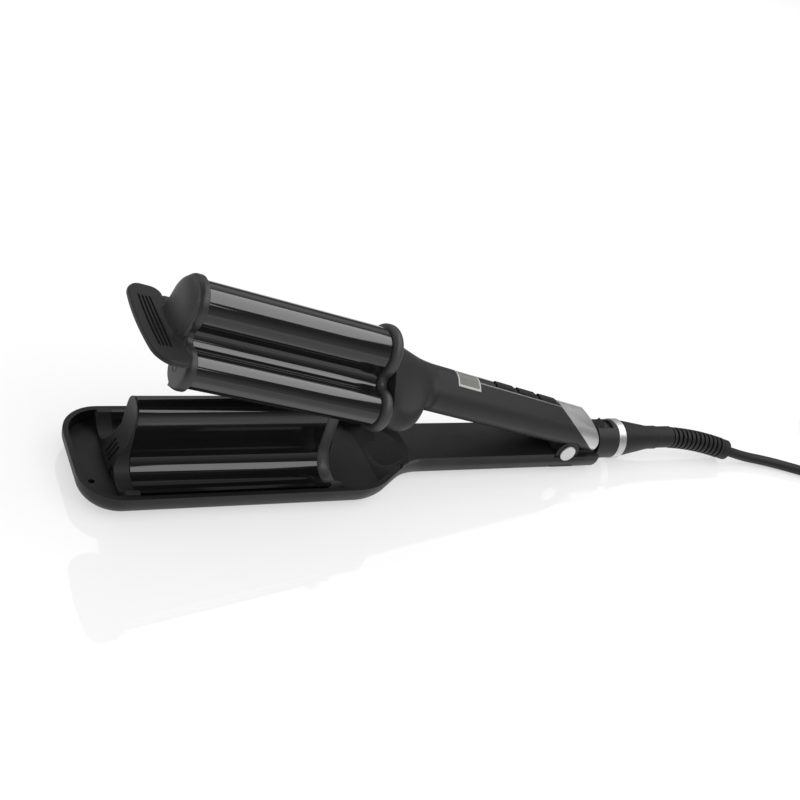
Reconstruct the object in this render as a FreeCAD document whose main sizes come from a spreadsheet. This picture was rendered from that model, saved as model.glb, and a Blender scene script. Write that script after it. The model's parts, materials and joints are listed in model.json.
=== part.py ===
import FreeCAD, Part
import math
import os
import Sketcher
from FreeCAD import Placement, Rotation, Vector

# A deep waver, the hair crimper with a tall ridge in the lower jaw and a three-lobed barrel above it.
# Every piece is drawn in the hinge pin's own frame: X runs back to the cord, so the tips lie at
# negative X, Y runs across and Z is the opening direction. The lower arm is then lifted by the pin's
# height, and the upper arm is turned about the pin by the opening angle as well.

SIZES = {
    # the frame
    "pin_height": 16.0,
    "opening_angle": 13.0,
    # plan of the lower arm, measured forward from the pin
    "jaw_reach": 292.5,
    "jaw_half": 36.4,
    "jaw_rim": 2.6,
    "tip_corner": 21.0,
    "neck_front": 137.0,
    "neck_back": 109.0,
    "neck_corner": 32.0,
    "handle_half": 15.5,
    "casing_rear": 25.0,
    "casing_wall": 2.8,
    "belly_radius": 11.5,
    "dish_depth": 9.6,
    "well_depth": 13.9,
    "well_half": 27.0,
    "screw_inset": 32.0,
    "screw_setback": 10.0,
    "screw_side": 22.0,
    "screw_radius": 2.9,
    "screw_thick": 0.8,
    "screw_depth": 1.2,
    "screw_gap": 0.3,
    "drain_inset": 9.0,
    "drain_side": 14.0,
    "drain_radius": 1.6,
    # inner cover
    "cover_setback": 1.5,
    "ramp_start": 6.0,
    "ramp_run": 13.0,
    "slit_count": 3.0,
    "slit_pitch": 3.6,
    "slit_width": 1.1,
    "slit_length": 14.0,
    "slit_depth": 6.4,
    # the wave that both jaws share
    "half_pitch": 20.0,
    "roll_radius": 10.5,
    "roll_height": 4.0,
    "hair_gap": 1.3,
    "ridge_height": 22.0,
    "hump_radius": 12.7,
    "hump_height": 28.0,
    "waist_radius": 6.5,
    "plate_wall": 2.0,
    "plate_drop": 5.8,
    "tip_room": 27.5,
    "lower_plate_back": 163.0,
    "barrel_lead": 1.0,
    "barrel_back": 155.0,
    # caps, collar and cool tip
    "cap_length": 8.0,
    "cap_foot": 9.3,
    "rim_length": 4.5,
    "rim_proud": 1.5,
    "rim_waist": 4.2,
    "nose_length": 9.0,
    "nose_top": 0.6,
    "nose_waist": 1.9,
    "toe_top": 9.0,
    "nose_foot": -6.0,
    "face_wall": 1.2,
    "fin_count": 3.0,
    "fin_pitch": 3.2,
    "fin_slot": 1.3,
    "fin_height": 9.0,
    "collar_width": 8.5,
    "collar_proud": 1.8,
    "collar_waist": 3.8,
    "cool_tip_length": 15.0,
    "cool_tip_half": 32.0,
    "cool_tip_top": 15.3,
    "cool_tip_thick": 5.5,
    "cool_tip_corner": 10.0,
    "rib_count": 4.0,
    "rib_pitch": 2.65,
    "rib_width": 1.2,
    "rib_depth": 0.9,
    "rib_start": 3.7,
    "rib_margin": 12.0,
    # heating pieces
    "heater_inset": 8.0,
    "heater_floor": 9.0,
    "heater_top": 20.0,
    "fuse_radius": 2.2,
    "fuse_length": 12.0,
    "fuse_place": 20.0,
    "slot_half": 6.0,
    "slot_depth": 4.0,
    "slot_cover": 1.5,
    "sensor_radius": 1.6,
    "sensor_length": 9.0,
    "cap_screw_radius": 2.4,
    "cap_screw_thick": 1.8,
    "cap_screw_sink": 1.2,
    "cap_screw_depth": 3.0,
    # the upper handle
    "handle_floor": 1.0,
    "handle_round": 9.5,
    "crown_radius": 9.0,
    "crown_height": 14.2,
    "crown_rise": 4.2,
    "floor_rise": 3.0,
    "shell_wall": 2.2,
    "base_top": 6.4,
    "shoulder_back": 113.0,
    "shoulder_waist": 14.0,
    "shoulder_ease": 5.0,
    "ease_proud": 0.5,
    "shoulder_crown": 14.5,
    "shoulder_top": 20.0,
    "shoulder_foot": 10.0,
    "shoulder_side": 19.0,
    "shoulder_rise": 7.8,
    "ball_back": 137.0,
    "ball_crown": 14.2,
    "ball_top": 18.2,
    "ball_side": 19.4,
    "ball_rise": 5.6,
    "waist_crown": 12.2,
    "waist_top": 17.4,
    "waist_side": 16.6,
    "waist_rise": 8.6,
    "handle_rear": 18.0,
    "end_corner": 19.0,
    "trim_front": 16.0,
    "end_lean": 14.5,
    # panel, display and keys
    "panel_back": 9.0,
    "panel_half": 3.6,
    "panel_floor": 20.8,
    "line_width": 0.8,
    "window_setback": 15.0,
    "window_length": 17.0,
    "window_half": 7.8,
    "frame_band": 1.3,
    "key_count": 3.0,
    "key_front": 68.0,
    "key_length": 14.0,
    "key_pitch": 17.4,
    "key_half": 2.4,
    "key_proud": 0.9,
    "key_travel": 0.7,
    "key_gap": 0.25,
    "board_front": 96.0,
    "board_back": 14.0,
    "board_half": 8.5,
    "board_rise": 11.4,
    "board_thick": 1.6,
    "post_radius": 2.5,
    "post_inset": 8.0,
    "window_drop": 2.0,
    "key_rest": 0.2,
    "display_half": 3.7,
    "display_inset": 3.3,
    "switch_height": 1.9,
    "switch_half": 3.0,
    "switch_side": 2.0,
    # the hinge
    "pin_radius": 2.5,
    "knuckle_radius": 8.0,
    "knuckle_half": 11.0,
    "ear_outer": 14.6,
    "side_gap": 0.25,
    "turn_gap": 0.4,
    "bore_gap": 0.05,
    "fit_gap": 0.05,
    "disc_radius": 5.1,
    "disc_thick": 1.1,
    "spring_radius": 3.6,
    "spring_wire": 1.1,
    "spring_pitch": 1.9,
    "spring_turns": 4.0,
    # swivel, lock and boot
    "swivel_drop": 1.4,
    "tail_drop": 2.7,
    "tail_radius": 2.6,
    "tail_lap": 2.0,
    "swivel_radius": 12.0,
    "swivel_back": 40.5,
    "ring_width": 5.6,
    "ring_radius": 12.4,
    "neck_radius": 8.8,
    "boot_flange": 11.2,
    "boot_throat": 7.4,
    "boot_cone_back": 78.0,
    "neck_depth": 5.0,
    "neck_gap": 0.2,
    "flange_thick": 2.7,
    "cone_length": 22.0,
    "lock_front": 25.6,
    "lock_recess": 12.0,
    "lock_length": 6.0,
    "lock_half": 3.6,
    "lock_travel": 5.0,
    "lock_step": 2.0,
    "lock_plate": 1.2,
    "lock_bump": 4.4,
    # strain relief and cord
    "relief_length": 61.0,
    "relief_turn": 18.0,
    "relief_roll": 45.0,
    "relief_core": 5.3,
    "relief_rib": 6.8,
    "relief_count": 12.0,
    "relief_collar": 5.0,
    "relief_end": 6.6,
    "relief_sleeve": 12.0,
    "relief_neck": 6.9,
    "cord_diameter": 6.6,
    "coil_gap": 0.5,
    "coil_inner": 26.0,
    "coil_turns": 3.25,
    "coil_over": 0.125,
    "tie_thick": 0.5,
    "tie_width": 4.0,
    "tie_gap": 0.05,
    "plug_length": 36.0,
    "plug_radius": 12.0,
    "plug_waist": 7.0,
    "plug_neck": 5.0,
    "plug_waist_at": 12.6,
    "plug_swell": 11.0,
    "plug_swell_at": 18.0,
    "plug_full_at": 22.3,
    "plug_edge": 1.5,
    "prong_radius": 2.4,
    "prong_length": 19.0,
    "prong_spread": 9.0,
}

doc = FreeCAD.newDocument("deep_waver")
sheet = doc.addObject("Spreadsheet::Sheet", "Sizes")
for row, (word, number) in enumerate(SIZES.items(), 1):
    sheet.set(f"A{row}", word)
    sheet.set(f"B{row}", str(number))
    sheet.setAlias(f"B{row}", word)
doc.recompute()


class Size:
    """A number together with the spreadsheet expression that gives it."""

    def __init__(self, value, text):
        self.value = value
        self.text = text

    def __add__(self, other):
        other = sized(other)
        return Size(self.value + other.value, f"({self.text} + {other.text})")

    def __sub__(self, other):
        other = sized(other)
        return Size(self.value - other.value, f"({self.text} - {other.text})")

    def __mul__(self, other):
        other = sized(other)
        return Size(self.value * other.value, f"({self.text} * {other.text})")

    def __truediv__(self, other):
        other = sized(other)
        return Size(self.value / other.value, f"({self.text} / {other.text})")

    def __neg__(self):
        return Size(-self.value, f"(0 - {self.text})")

    def __float__(self):
        return float(self.value)

    __radd__ = __add__
    __rmul__ = __mul__

    def __rsub__(self, other):
        return sized(other) - self


def sized(thing):
    """The same size, or a plain number as a size."""
    if isinstance(thing, Size):
        return thing
    return Size(float(thing), f"({float(thing)})")


class Sheet:
    """Reads a size of the spreadsheet by its word."""

    def __getattr__(self, word):
        return Size(float(sheet.get(word)), f"Sizes.{word}")


s = Sheet()
NODES = []


def bind(thing, **sizes):
    """Tie properties of an object to the spreadsheet."""
    for name, size in sizes.items():
        thing.setExpression(name, sized(size).text)
    return thing


def move(thing, x=0, y=0, z=0):
    """Tie an object's place to the spreadsheet."""
    for name, size in (("x", x), ("y", y), ("z", z)):
        thing.setExpression(f".Placement.Base.{name}", sized(size).text)
    return thing


def block(name, x, y, z):
    """A box between two corners: each of x, y and z is a pair of sizes."""
    box = doc.addObject("Part::Box", name)
    low = [sized(pair[0]) for pair in (x, y, z)]
    high = [sized(pair[1]) for pair in (x, y, z)]
    bind(box, Length=high[0] - low[0], Width=high[1] - low[1], Height=high[2] - low[2])
    return move(box, *low)


AXES = {
    "x": Rotation(Vector(0, 1, 0), 90),
    "y": Rotation(Vector(1, 0, 0), -90),
    "z": Rotation(),
}


def rod(name, axis, start, radius, length):
    """A round bar that starts at a point and runs along one axis."""
    bar = doc.addObject("Part::Cylinder", name)
    bar.Placement = Placement(Vector(), AXES[axis])
    bind(bar, Radius=radius, Height=length)
    return move(bar, *start)


def cone(name, axis, start, radius, end_radius, length):
    """A cone that starts at a point and runs along one axis."""
    piece = doc.addObject("Part::Cone", name)
    piece.Placement = Placement(Vector(), AXES[axis])
    bind(piece, Radius1=radius, Radius2=end_radius, Height=length)
    return move(piece, *start)


def join(name, *pieces):
    """Several solids as one."""
    whole = doc.addObject("Part::MultiFuse", name)
    whole.Shapes = list(pieces)
    return whole


def group(name, *pieces):
    """Separate solids that share one node."""
    whole = doc.addObject("Part::Compound", name)
    whole.Links = list(pieces)
    return whole


def shared(name, *pieces):
    """The space that all of the solids fill."""
    whole = doc.addObject("Part::MultiCommon", name)
    whole.Shapes = list(pieces)
    return whole


def cut(name, base, *tools):
    """A solid less the others."""
    result = doc.addObject("Part::Cut", name)
    result.Base = base
    result.Tool = tools[0] if len(tools) == 1 else group(name + "_tools", *tools)
    return result


def body(name):
    return doc.addObject("PartDesign::Body", name)


def sketch_on(owner, role, offset=0):
    """A sketch on one of a body's own planes, moved along the plane's normal."""
    plane = next(item for item in owner.Origin.OriginFeatures if item.Role == role)
    sketch = owner.newObject("Sketcher::SketchObject", owner.Name + "_sketch")
    sketch.AttachmentSupport = [(plane, "")]
    sketch.MapMode = "FlatFace"
    sketch.setExpression(".AttachmentOffset.Base.z", sized(offset).text)
    return sketch


def fix(sketch, item, end, u=None, v=None):
    """Hold a point of the sketch at u across and v up, each tied to the spreadsheet."""
    for kind, size, axis in (("DistanceX", u, -2), ("DistanceY", v, -1)):
        if size is None:
            continue
        size = sized(size)
        if abs(size.value) < 1e-9:
            sketch.addConstraint(Sketcher.Constraint("PointOnObject", item, end, axis))
            continue
        ends = (-1, 1, item, end) if size.value > 0 else (item, end, -1, 1)
        size = size if size.value > 0 else -size
        index = sketch.addConstraint(Sketcher.Constraint(kind, *ends, size.value))
        sketch.setExpression(f"Constraints[{index}]", size.text)


def polygon(sketch, corners):
    """A closed outline of straight lines through the corners."""
    points = [Vector(float(sized(u)), float(sized(v)), 0) for u, v in corners]
    count = len(points)
    for index in range(count):
        sketch.addGeometry(Part.LineSegment(points[index], points[(index + 1) % count]))
    for index in range(count):
        sketch.addConstraint(Sketcher.Constraint("Coincident", index, 2, (index + 1) % count, 1))
    for index, (u, v) in enumerate(corners):
        fix(sketch, index, 1, u, v)


def pad(owner, sketch, length, both_ways=False):
    """Thicken a sketch along its normal, or to both sides of its plane."""
    feature = owner.newObject("PartDesign::Pad", owner.Name + "_pad")
    feature.Profile = sketch
    feature.setExpression("Length", sized(length).text)
    feature.Midplane = both_ways
    sketch.Visibility = False
    return feature


def rounded(owner, feature, radius, wanted):
    """Round the edges of a feature that a test picks."""
    doc.recompute()
    picked = [f"Edge{i}" for i, edge in enumerate(feature.Shape.Edges, 1) if wanted(edge)]
    fillet = owner.newObject("PartDesign::Fillet", owner.Name + "_fillet")
    fillet.Base = (feature, picked)
    fillet.setExpression("Radius", sized(radius).text)
    return fillet


def upright(edge, x=None, side=None):
    """True for an edge along Z, at a given x and distance from the mid-plane if they are given."""
    low, high = edge.BoundBox.ZMin, edge.BoundBox.ZMax
    if high - low < 0.5 or edge.BoundBox.XLength + edge.BoundBox.YLength > 1e-6:
        return False
    middle = edge.BoundBox.Center
    right_x = x is None or abs(middle.x - float(x)) < 0.01
    return right_x and (side is None or abs(abs(middle.y) - float(side)) < 0.01)


def at_level(edge, z):
    return abs(edge.BoundBox.ZMin - float(z)) < 1e-4 and abs(edge.BoundBox.ZMax - float(z)) < 1e-4


def lower(thing, name):
    """A finished piece of the lower arm: lifted so that the arm's back lies on the table."""
    if thing.TypeId in ("Part::Box", "Part::Cylinder"):
        thing = group(name + "_piece", thing)
    thing.Label = name
    thing.setExpression(".Placement.Base.x", pin_x.text)
    thing.setExpression(".Placement.Base.z", s.pin_height.text)
    NODES.append(thing)
    return thing


def upper(thing, name):
    """A finished piece of the upper arm: lifted with the pin and turned open about it."""
    if thing.TypeId in ("Part::Box", "Part::Cylinder"):
        thing = group(name + "_piece", thing)
    thing.Placement = Placement(Vector(), Rotation(Vector(0, 1, 0), 1))
    thing.setExpression(".Placement.Rotation.Angle", s.opening_angle.text)
    return lower(thing, name)


PAST = 1.0
above_all = s.hump_height + s.hump_radius * 2

# the arm reaches from the jaw's tip to the boot's end, and the origin is at the middle of that
relief_reach = float(s.relief_length) * math.cos(math.radians(float(s.relief_turn) / 2))
relief_back = s.boot_cone_back + Size(relief_reach,
                                      f"(Sizes.relief_length * cos(Sizes.relief_turn / 2 * 1 deg))")
pin_x = (s.jaw_reach - relief_back - s.relief_collar / 2) / 2


# plan outlines of the lower arm


def jaw_plan(name, inset, low, high):
    """The arm seen from above, drawn in by an inset, as a slab between two levels."""
    owner = body(name)
    sketch = sketch_on(owner, "XY_Plane", low)
    tip = -(s.jaw_reach - inset)
    wide = s.jaw_half - inset
    slim = s.handle_half - inset
    front = -(s.neck_front + inset / 2)
    back = -(s.neck_back + inset / 2)
    rear = s.casing_rear - inset
    polygon(sketch, [(tip, -wide), (front, -wide), (back, -slim), (rear, -slim),
                     (rear, slim), (back, slim), (front, wide), (tip, wide)])
    slab = pad(owner, sketch, sized(high) - low)
    slab = rounded(owner, slab, s.tip_corner - inset, lambda edge: upright(edge, tip, wide))
    slab = rounded(owner, slab, s.neck_corner,
                   lambda edge: upright(edge, front, wide) or upright(edge, back, slim))
    return owner, slab


# lower casing

belly, belly_slab = jaw_plan("belly", sized(0), -s.pin_height, -s.jaw_rim)
rounded(belly, belly_slab, s.belly_radius,
        lambda edge: at_level(edge, -s.pin_height)
                       and abs(edge.BoundBox.Center.x - float(s.casing_rear)) > 0.1)
dish, _ = jaw_plan("dish", s.casing_wall, -s.dish_depth, s.jaw_rim)
plate_front = -(s.jaw_reach - s.tip_room)
plate_length = -plate_front - s.lower_plate_back
well = block("well", (plate_front, -s.lower_plate_back), (-s.well_half, s.well_half), (-s.well_depth, 0))


def both_sides(name, make):
    """The same piece on the far and the near side of the mid-plane."""
    return [make(name + "_far", 1), make(name + "_near", -1)]


def ear(name, side):
    """One hinge ear: a round cheek about the pin that stands on the casing's wall."""
    ear_inner = s.knuckle_half + s.side_gap
    start = ear_inner if side > 0 else -s.ear_outer
    cheek = rod(name + "_cheek", "y", (0, start, 0), s.knuckle_radius, s.ear_outer - ear_inner)
    root = block(name + "_root", (-s.knuckle_radius, s.knuckle_radius),
                 (start, start + s.ear_outer - ear_inner),
                 (-s.dish_depth - PAST, 0))
    return join(name, cheek, root)


def pin_bore(name, reach):
    """A bore for the hinge pin, with its running clearance."""
    return rod(name, "y", (0, -reach, 0), s.pin_radius + s.bore_gap, reach * 2)


casing_shell = cut("casing_shell", belly, dish, well)
screw_rows = (-s.jaw_reach + s.screw_inset, -s.neck_front - s.screw_setback)
screw_spots = [(x, y) for x in screw_rows for y in (s.screw_side, -s.screw_side)]
screw_bores = [rod(f"screw_bore_{i}", "z", (x, y, -s.pin_height - PAST), s.screw_radius + s.screw_gap,
                   s.screw_depth + PAST)
               for i, (x, y) in enumerate(screw_spots)]
disc_rooms = [rod("disc_room_far", "y", (0, s.ear_outer, 0), s.disc_radius + s.side_gap, s.disc_thick + PAST),
              rod("disc_room_near", "y", (0, -s.ear_outer - s.disc_thick - PAST, 0),
                  s.disc_radius + s.side_gap,
                  s.disc_thick + PAST)]
neck_room = rod("neck_room", "x", (s.casing_rear - s.casing_wall - PAST, 0, -s.tail_drop),
                s.tail_radius + s.side_gap,
                s.casing_wall + PAST * 2)
casing_full = join("casing_full", casing_shell, *both_sides("ear", ear))
tip_hole = rod("tip_hole", "z", (-s.jaw_reach + s.drain_inset, -s.drain_side, -s.dish_depth - s.drain_radius),
               s.drain_radius, s.drain_radius + PAST)
lower(cut("casing", casing_full, pin_bore("ear_bore", s.handle_half + 1), tip_hole, neck_room, *disc_rooms,
          *screw_bores), "lower_casing")
screws = [rod(f"casing_screw_{i}", "z", (x, y, -s.pin_height + s.screw_depth - s.screw_thick),
              s.screw_radius, s.screw_thick)
          for i, (x, y) in enumerate(screw_spots)]
lower(group("casing_screw_set", *screws), "casing_screws")


# inner cover of the lower handle, with a ramp down into the dish

cover_plan, _ = jaw_plan("cover_plan", sized(0), -s.jaw_rim, 0)
ramp_plan, _ = jaw_plan("ramp_plan", s.casing_wall + s.side_gap, -s.dish_depth, 0)
cover_back = -(s.knuckle_radius + s.cover_setback)
ramp_body = body("ramp")
ramp_sketch = sketch_on(ramp_body, "XZ_Plane")
ramp_top = -(s.neck_back + s.ramp_start)
ramp_foot = ramp_top - s.ramp_run
ramp_lap = ramp_top + s.jaw_rim
polygon(ramp_sketch, [(ramp_foot, -s.dish_depth), (ramp_top, 0), (ramp_lap, 0), (ramp_lap, -s.dish_depth)])
pad(ramp_body, ramp_sketch, s.jaw_half * 2, True)
slab = block("cover_slab", (ramp_top, cover_back), (-s.jaw_half, s.jaw_half), (-s.jaw_rim - PAST, PAST))
cover_parts = join("cover_parts", shared("cover_flat", cover_plan, slab),
                   shared("cover_ramp", ramp_plan, ramp_body))
slits = []
slit_total = int(float(s.slit_count))
slit_low = -s.dish_depth / 2 - s.slit_depth / 2
for index in range(slit_total):
    slit_y = s.slit_pitch * (index - (slit_total - 1) / 2)
    slits.append(block(f"slit_{index}", (ramp_foot - PAST, ramp_foot - PAST + s.slit_length),
                       (slit_y - s.slit_width / 2, slit_y + s.slit_width / 2), (slit_low,
                                                                                slit_low + s.slit_depth)))
lower(cut("cover", cover_parts, *slits), "inner_cover")


# wave profiles


def arc(sketch, centre, radius, start, end):
    """An arc of a circle from one angle to another, in degrees, counter-clockwise."""
    circle = Part.Circle(Vector(float(sized(centre[0])), float(sized(centre[1])), 0), Vector(0, 0, 1),
                         float(radius))
    return sketch.addGeometry(Part.ArcOfCircle(circle, math.radians(start), math.radians(end)))


def set_radius(sketch, item, radius):
    index = sketch.addConstraint(Sketcher.Constraint("Radius", item, float(radius)))
    sketch.setExpression(f"Constraints[{index}]", sized(radius).text)


def held_arc(sketch, centre, radius, start, end):
    """An arc whose centre and radius are tied to the spreadsheet."""
    item = arc(sketch, centre, radius, start, end)
    fix(sketch, item, 3, *centre)
    set_radius(sketch, item, radius)
    return item


def line(sketch, first, second):
    return sketch.addGeometry(Part.LineSegment(Vector(*first, 0), Vector(*second, 0)))


def meet(sketch, first, first_end, second, second_end, smooth=True):
    """Join the ends of two curves, smoothly or at a corner."""
    kind = "Tangent" if smooth else "Coincident"
    sketch.addConstraint(Sketcher.Constraint(kind, first, first_end, second, second_end))


def wave_chain(sketch, ridge_radius, valley_radius, edge_drop):
    """Valley, side, ridge, side, valley from the far edge to the near one; returns the two end arcs."""
    pitch, low, high = float(s.half_pitch), float(s.roll_height), float(s.ridge_height)
    edge = -math.degrees(math.asin(float(edge_drop) / float(valley_radius)))
    ridge = held_arc(sketch, (0, s.ridge_height), ridge_radius, 0, 180)
    far = held_arc(sketch, (s.half_pitch, s.roll_height), valley_radius, 180, 360 + edge)
    near = held_arc(sketch, (-s.half_pitch, s.roll_height), valley_radius, 180 - edge, 360)
    side = pitch - float(valley_radius)
    far_side = line(sketch, (side, low), (side, high))
    near_side = line(sketch, (-side, high), (-side, low))
    meet(sketch, far, 1, far_side, 1)
    meet(sketch, far_side, 2, ridge, 1)
    meet(sketch, ridge, 2, near_side, 1)
    meet(sketch, near_side, 2, near, 2)
    return far, near


def plate_sketch(owner, start):
    """The ridge plate's own section: the wave, and the same wave one wall below."""
    sketch = sketch_on(owner, "YZ_Plane", start)
    ridge = s.half_pitch - s.roll_radius - s.hair_gap
    valley = s.roll_radius + s.hair_gap
    top_far, top_near = wave_chain(sketch, ridge, valley, s.plate_drop)
    low_far, low_near = wave_chain(sketch, ridge - s.plate_wall, valley + s.plate_wall, s.plate_drop)
    level = s.roll_height - s.plate_drop
    for first, first_end, second, sign in ((top_far, 2, low_far, 1), (top_near, 1, low_near, -1)):
        reach = [math.sqrt(float(r) ** 2 - float(s.plate_drop) ** 2) for r in (valley, valley + s.plate_wall)]
        ends = [(sign * (float(s.half_pitch) + x), float(level)) for x in reach]
        edge = line(sketch, *ends)
        meet(sketch, first, first_end, edge, 1, False)
        meet(sketch, edge, 2, second, first_end, False)
        sketch.addConstraint(Sketcher.Constraint("Horizontal", edge))
        fix(sketch, edge, 1, None, level)
    return sketch


def wave_block_sketch(owner, start, foot):
    """The wave as the top of a solid block that stands on the casing's floor."""
    sketch = sketch_on(owner, "YZ_Plane", start)
    valley = s.roll_radius + s.hair_gap
    far, near = wave_chain(sketch, s.half_pitch - valley, valley, s.plate_drop)
    half = float(s.jaw_half - s.casing_wall - s.side_gap)
    level = float(s.roll_height - s.plate_drop)
    bottom = -float(foot)
    reach = float(s.half_pitch) + math.sqrt(float(valley) ** 2 - float(s.plate_drop) ** 2)
    corners = [(reach, level), (half, level), (half, bottom), (-half, bottom), (-half, level),
               (-reach, level)]
    edges = [line(sketch, corners[i], corners[i + 1]) for i in range(5)]
    meet(sketch, far, 2, edges[0], 1, False)
    for first, second in zip(edges, edges[1:]):
        meet(sketch, first, 2, second, 1, False)
    meet(sketch, edges[4], 2, near, 1, False)
    wide = s.jaw_half - s.casing_wall - s.side_gap
    fix(sketch, edges[1], 1, wide, s.roll_height - s.plate_drop)
    fix(sketch, edges[2], 1, wide, -foot)
    fix(sketch, edges[3], 1, -wide, -foot)
    fix(sketch, edges[4], 1, -wide, s.roll_height - s.plate_drop)
    for edge in (edges[0], edges[4]):
        sketch.addConstraint(Sketcher.Constraint("Horizontal", edge))
    return sketch


plate = body("plate")
pad(plate, plate_sketch(plate, plate_front), plate_length)
lower(plate, "ridge_plate")

front_cap = body("front_cap")
pad(front_cap, wave_block_sketch(front_cap, plate_front - s.cap_length, s.cap_foot), s.cap_length)
ridge_half = s.half_pitch - s.roll_radius - s.hair_gap
nose_front = plate_front - s.nose_length
nose = join("nose", rod("nose_round", "x", (nose_front, 0, s.ridge_height), ridge_half, s.nose_length),
            block("nose_wall", (nose_front, plate_front), (-ridge_half, ridge_half),
                  (-s.cap_foot, s.ridge_height)))
slope = body("nose_slope")
slope_sketch = sketch_on(slope, "XZ_Plane")
slope_top = s.ridge_height + ridge_half
polygon(slope_sketch, [(nose_front, s.nose_foot), (plate_front - s.nose_waist, s.toe_top),
                       (plate_front - s.nose_top, slope_top),
                       (plate_front - s.nose_top, above_all), (nose_front - PAST,
                                                               above_all), (nose_front - PAST, s.nose_foot)])
pad(slope, slope_sketch, s.jaw_half * 2, True)
fins = []
fin_total = int(float(s.fin_count))
for index in range(fin_total):
    fin_y = s.fin_pitch * (index - (fin_total - 1) / 2)
    fins.append(block(f"fin_slot_{index}", (nose_front - PAST, plate_front - s.cap_length / 2),
                      (fin_y - s.fin_slot / 2, fin_y + s.fin_slot / 2), (s.nose_foot,
                                                                         s.nose_foot + s.fin_height)))
cap_plan, _ = jaw_plan("cap_plan", s.casing_wall + s.side_gap, -s.dish_depth, above_all)
cap_solid = shared("front_cap_trimmed", join("front_cap_whole", front_cap, nose), cap_plan)
lower(cut("front_cap_cut", cap_solid, slope, *fins), "ridge_tip_cap")

rear_cap = body("rear_cap")
pad(rear_cap, wave_block_sketch(rear_cap, -s.lower_plate_back, s.cap_foot), s.cap_length)
lower(rear_cap, "ridge_rear_cap")


# heater of the lower plate, its carrier and its fuse

heater_half = s.half_pitch - s.roll_radius - s.hair_gap - s.plate_wall - s.side_gap
heater_front = plate_front + s.heater_inset
heater_span = (heater_front, heater_front + plate_length - s.heater_inset * 2)
lower(block("heater_low", heater_span, (-heater_half, heater_half), (s.heater_floor, s.heater_top)),
      "lower_heater")
lower(block("carrier", heater_span, (-heater_half + PAST, heater_half - PAST),
            (-s.well_depth, s.heater_floor)),
      "heater_carrier")
lower(rod("fuse_low", "x", (heater_front + s.fuse_place, 0, s.heater_top + s.fuse_radius), s.fuse_radius,
          s.fuse_length),
      "thermal_fuse")


# upper barrel: a hump and two rolls round a cavity that takes the ridge


def waist_circle(hump_radius, roll_radius, waist_radius, roll_height):
    """Where a waist of the given radius touches both the hump and the roll."""
    hump = Vector(0, float(s.hump_height), 0)
    roll = Vector(float(s.half_pitch), roll_height, 0)
    along = roll - hump
    far_hump = hump_radius + waist_radius
    far_roll = roll_radius + waist_radius
    reach = (far_hump ** 2 - far_roll ** 2 + along.Length ** 2) / (2 * along.Length)
    side = math.sqrt(far_hump ** 2 - reach ** 2)
    unit = along / along.Length
    centre = hump + unit * reach + Vector(-unit.y, unit.x, 0) * side
    to_hump = math.degrees(math.atan2(hump.y - centre.y, hump.x - centre.x))
    to_roll = math.degrees(math.atan2(roll.y - centre.y, roll.x - centre.x))
    return (centre.x, centre.y), to_hump, to_roll


def hat_sketch(owner, start, proud, waist):
    """The barrel's section, drawn out by a proud edge on its outer side only."""
    sketch = sketch_on(owner, "YZ_Plane", start)
    inner = s.half_pitch - s.roll_radius
    hump_radius = s.hump_radius + proud
    outer_radius = s.roll_radius + proud
    outer_height = s.roll_height + proud
    centre, to_hump, to_roll = waist_circle(float(hump_radius), float(outer_radius), float(waist),
                                            float(outer_height))
    leave = to_hump + 180
    arrive = to_roll + 180
    arch = held_arc(sketch, (0, s.ridge_height), inner, 0, 180)
    hump = held_arc(sketch, (0, s.hump_height), hump_radius, leave - 360, 540 - leave)
    low, high = float(s.roll_height), float(s.ridge_height)
    for sign in (1, -1):
        side = line(sketch, (sign * float(inner), high), (sign * float(inner), low))
        roll_centre = (s.half_pitch * sign, s.roll_height)
        outer_centre = (s.half_pitch * sign, outer_height)
        if sign > 0:
            under = held_arc(sketch, roll_centre, s.roll_radius, 180, 270)
            outer = arc(sketch, outer_centre, outer_radius, -90, arrive - 360)
            dip = arc(sketch, centre, waist, to_hump, to_roll + 360 if to_roll < to_hump else to_roll)
        else:
            under = held_arc(sketch, roll_centre, s.roll_radius, 270, 360)
            outer = arc(sketch, outer_centre, outer_radius, 540 - arrive, 270)
            dip = arc(sketch, (-centre[0], centre[1]), waist,
                      180 - (to_roll + 360 if to_roll < to_hump else to_roll),
                      180 - to_hump)
        set_radius(sketch, dip, waist)
        fix(sketch, outer, 3, *outer_centre)
        start_end, stop_end = (1, 2) if sign > 0 else (2, 1)
        meet(sketch, arch, start_end, side, 1)
        meet(sketch, side, 2, under, start_end)
        meet(sketch, under, stop_end, outer, start_end, False)
        fix(sketch, under, stop_end, s.half_pitch * sign)
        meet(sketch, outer, stop_end, dip, stop_end)
        meet(sketch, dip, start_end, hump, start_end)
    return sketch


barrel_front = plate_front + s.barrel_lead
barrel = body("barrel_bar")
pad(barrel, hat_sketch(barrel, barrel_front, sized(0), s.waist_radius), -s.barrel_back - barrel_front)
slot_floor = s.ridge_height + s.half_pitch - s.roll_radius + s.slot_cover
slot = block("heater_slot", (barrel_front - PAST, -s.barrel_back + PAST), (-s.slot_half, s.slot_half),
             (slot_floor, slot_floor + s.slot_depth))
upper(cut("barrel_bored", barrel, slot), "barrel")
heater_back = -s.barrel_back - s.sensor_length - PAST * 2
upper(block("heater_up", (barrel_front + s.heater_inset, heater_back),
            (-s.slot_half + s.side_gap, s.slot_half - s.side_gap),
            (slot_floor, slot_floor + s.slot_depth - s.side_gap)), "upper_heater")
upper(rod("sensor", "x", (heater_back + PAST, 0, slot_floor + s.sensor_radius), s.sensor_radius,
          s.sensor_length),
      "temperature_sensor")

collar = body("collar")
pad(collar, hat_sketch(collar, -s.barrel_back, s.collar_proud, s.collar_waist), s.collar_width)
upper(collar, "collar")

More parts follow.
